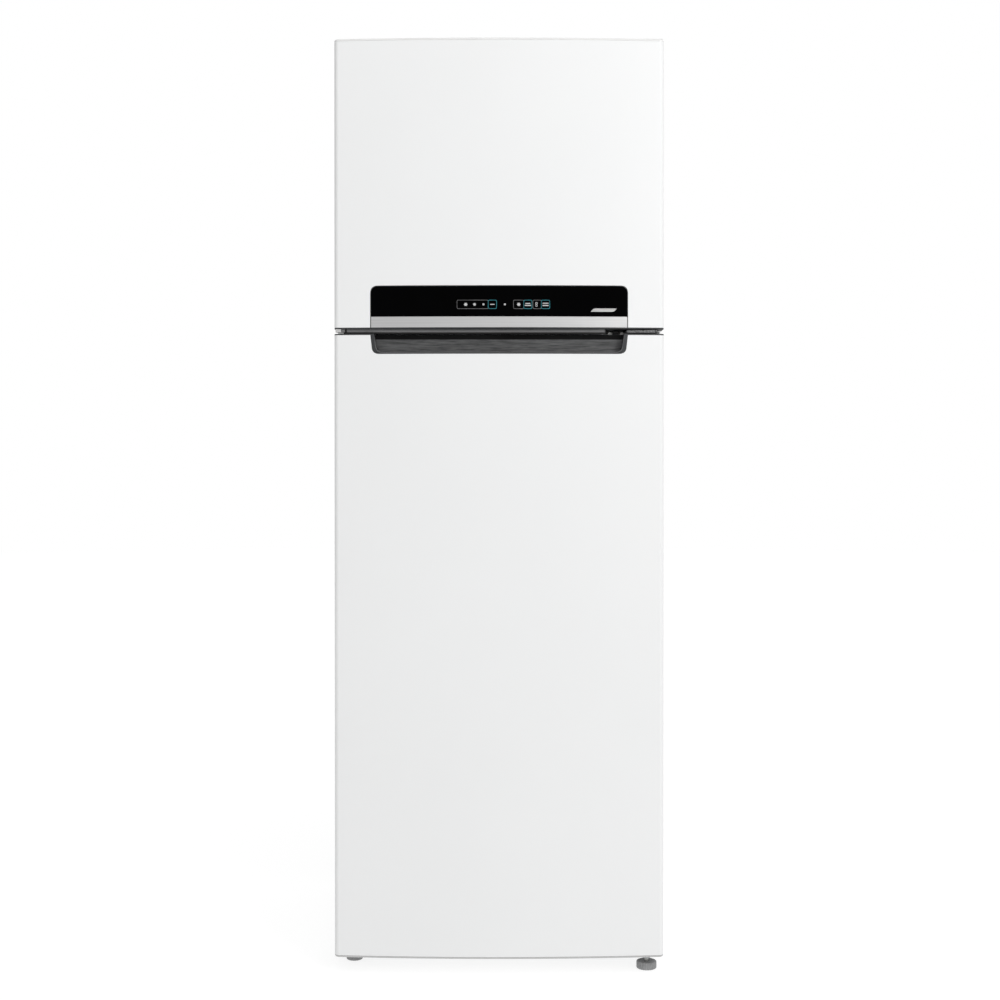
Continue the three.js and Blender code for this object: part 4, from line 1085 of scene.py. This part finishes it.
grips = [((slider_low.x + x, slider_low.x + x + 1), grip_y, grip_z) for x in (13.5, 15.5, 17.5)]
blocks("vent_slide_grips", grips, WHITE_PLASTIC, "vent_slide", 0.25, 2)
eggs_low, eggs_high = place("fridge_bin_upper")
EGG_Z = eggs_low.z + 34
EGG_CUP = (
    (0, -20), (9, -19.4), (15.6, -13), (18.2, -1.3), (18.6, 1.1), (17.4, 2.2), (16.4, 1.2), (14.2, -11),
    (8, -17.2), (0, -18),
)
cup = [(radius, EGG_Z + z) for radius, z in EGG_CUP]
eggs = bmesh.new()
tray = rounded((-205, -5), (eggs_low.y + 8, eggs_high.y - 8), 10)
add_prism(eggs, tray, "z", EGG_Z - 1.2, EGG_Z + 0.9, 0.5, 2)
for i in range(5):
    for j in range(2):
        add_lathe(eggs, cup, "z", (-184 + 39.5 * i, eggs_low.y + 30 + 42 * j), 28)
finish("egg_tray", eggs, WHITE_PLASTIC, "fridge_door", 50)
sensor = bmesh.new()
add_prism(sensor, rounded((40, 84), (905, 949), 6), "x", 243.6, 250.0, 1.4, 3)
for i in range(5):
    add_block(sensor, (242.8, 243.9), (46, 78), (912 + 7 * i, 914.5 + 7 * i), 0.4, 2)
finish("sensor_cover", sensor, LINER_WHITE, "cabinet")

# ---------------------------------------------------------------- floor, light and camera
FLOOR_RADIUS = 14.0
floor = bmesh.new()
bmesh.ops.create_circle(floor, cap_ends=True, segments=96, radius=FLOOR_RADIUS / MM)
floor_mesh = bpy.data.meshes.new("studio_floor")
floor.to_mesh(floor_mesh)
floor.free()
floor_mesh.transform(Matrix.Scale(MM, 4))
# How brightly the floor glows on the object, and as the camera sees it.
FLOOR_GLOW, FLOOR_GLOW_SEEN = 0.68, 0.81
floor_paint = surface(
    "studio_floor", (0.32, 0.32, 0.32), 0.9, spec=0.0, tone=0.003, patch=1, grain=40, bump=0.01,
    glow=((1.0, 1.0, 1.0), FLOOR_GLOW),
)
nodes, links = floor_paint.node_tree.nodes, floor_paint.node_tree.links
ray, lift = nodes.new("ShaderNodeLightPath"), nodes.new("ShaderNodeMapRange")
lift.inputs["To Min"].default_value = FLOOR_GLOW
lift.inputs["To Max"].default_value = FLOOR_GLOW_SEEN
links.new(ray.outputs["Is Camera Ray"], lift.inputs["Value"])
links.new(lift.outputs["Result"], nodes["Principled BSDF"].inputs["Emission Strength"])
floor_mesh.materials.append(floor_paint)
floor_object = bpy.data.objects.new("studio_floor", floor_mesh)
bpy.context.scene.collection.objects.link(floor_object)

# How bright the sky is from the far left to the far right: both ends fall off, so that the edges show.
SKY = ((0.0, 0.26), (0.1, 0.3), (0.17, 0.5), (0.84, 0.82), (0.9, 0.46), (1.0, 0.42))
world = bpy.data.worlds.new("studio")
bpy.context.scene.world = world
world.use_nodes = True
nodes, links = world.node_tree.nodes, world.node_tree.links
backdrop = nodes["Background"]
backdrop.inputs["Color"].default_value = (1.0, 1.0, 1.0, 1.0)
backdrop.inputs["Strength"].default_value = 1.0
sky = nodes.new("ShaderNodeBackground")
sky.inputs["Color"].default_value = (1.0, 1.0, 1.0, 1.0)
facing = nodes.new("ShaderNodeTexCoord")
split = nodes.new("ShaderNodeSeparateXYZ")
across = nodes.new("ShaderNodeMapRange")
across.inputs["From Min"].default_value = -1.0
fade = nodes.new("ShaderNodeValToRGB")
stops = fade.color_ramp.elements
for _ in SKY[2:]:
    stops.new(0.5)
for stop, (spot, tone) in zip(stops, SKY):
    stop.position = spot
# Stops sort themselves as they move, so their colours come in a second round.
for stop, (spot, tone) in zip(stops, SKY):
    stop.color = (tone, tone, tone, 1.0)
links.new(facing.outputs["Generated"], split.inputs["Vector"])
links.new(split.outputs["X"], across.inputs["Value"])
links.new(across.outputs["Result"], fade.inputs["Fac"])
links.new(fade.outputs["Color"], sky.inputs["Strength"])
seen, choose = nodes.new("ShaderNodeLightPath"), nodes.new("ShaderNodeMixShader")
links.new(seen.outputs["Is Camera Ray"], choose.inputs["Fac"])
links.new(sky.outputs[0], choose.inputs[1])
links.new(backdrop.outputs[0], choose.inputs[2])
links.new(choose.outputs[0], nodes["World Output"].inputs["Surface"])


def area_light(name, spot, aim, size, watts):
    light = bpy.data.lights.new(name, "AREA")
    light.shape = "RECTANGLE"
    light.size, light.size_y = size
    light.energy = watts
    obj = bpy.data.objects.new(name, light)
    obj.location = spot
    obj.rotation_euler = (Vector(aim) - Vector(spot)).to_track_quat("-Z", "Y").to_euler()
    bpy.context.scene.collection.objects.link(obj)


area_light("key_light", (2.0, -2.3, 3.2), (0.0, -0.3, 1.5), (1.6, 1.6), 19)
area_light("top_light", (0.0, -1.2, 4.2), (0.0, 0.0, 1.0), (2.4, 1.6), 10)
area_light("right_light", (2.0, -3.8, 2.25), (0.2, -0.3, 1.35), (1.0, 2.0), 31.8)

CAMERA_DISTANCE = 3.0
camera_data = bpy.data.cameras.new("camera")
camera_data.lens = 59.36
camera_data.sensor_width = 36.0
camera_data.shift_y = -0.0297
camera = bpy.data.objects.new("camera", camera_data)
camera.location = (0.0016, (DOOR_BACK - SIDE_THICKNESS) * MM - CAMERA_DISTANCE, 0.94)
camera.rotation_euler = (math.radians(89.6), 0.0, 0.0)
bpy.context.scene.collection.objects.link(camera)
bpy.context.scene.camera = camera
bpy.context.scene.view_settings.view_transform = "Standard"
bpy.context.scene.view_settings.look = "None"

bpy.context.view_layer.update()
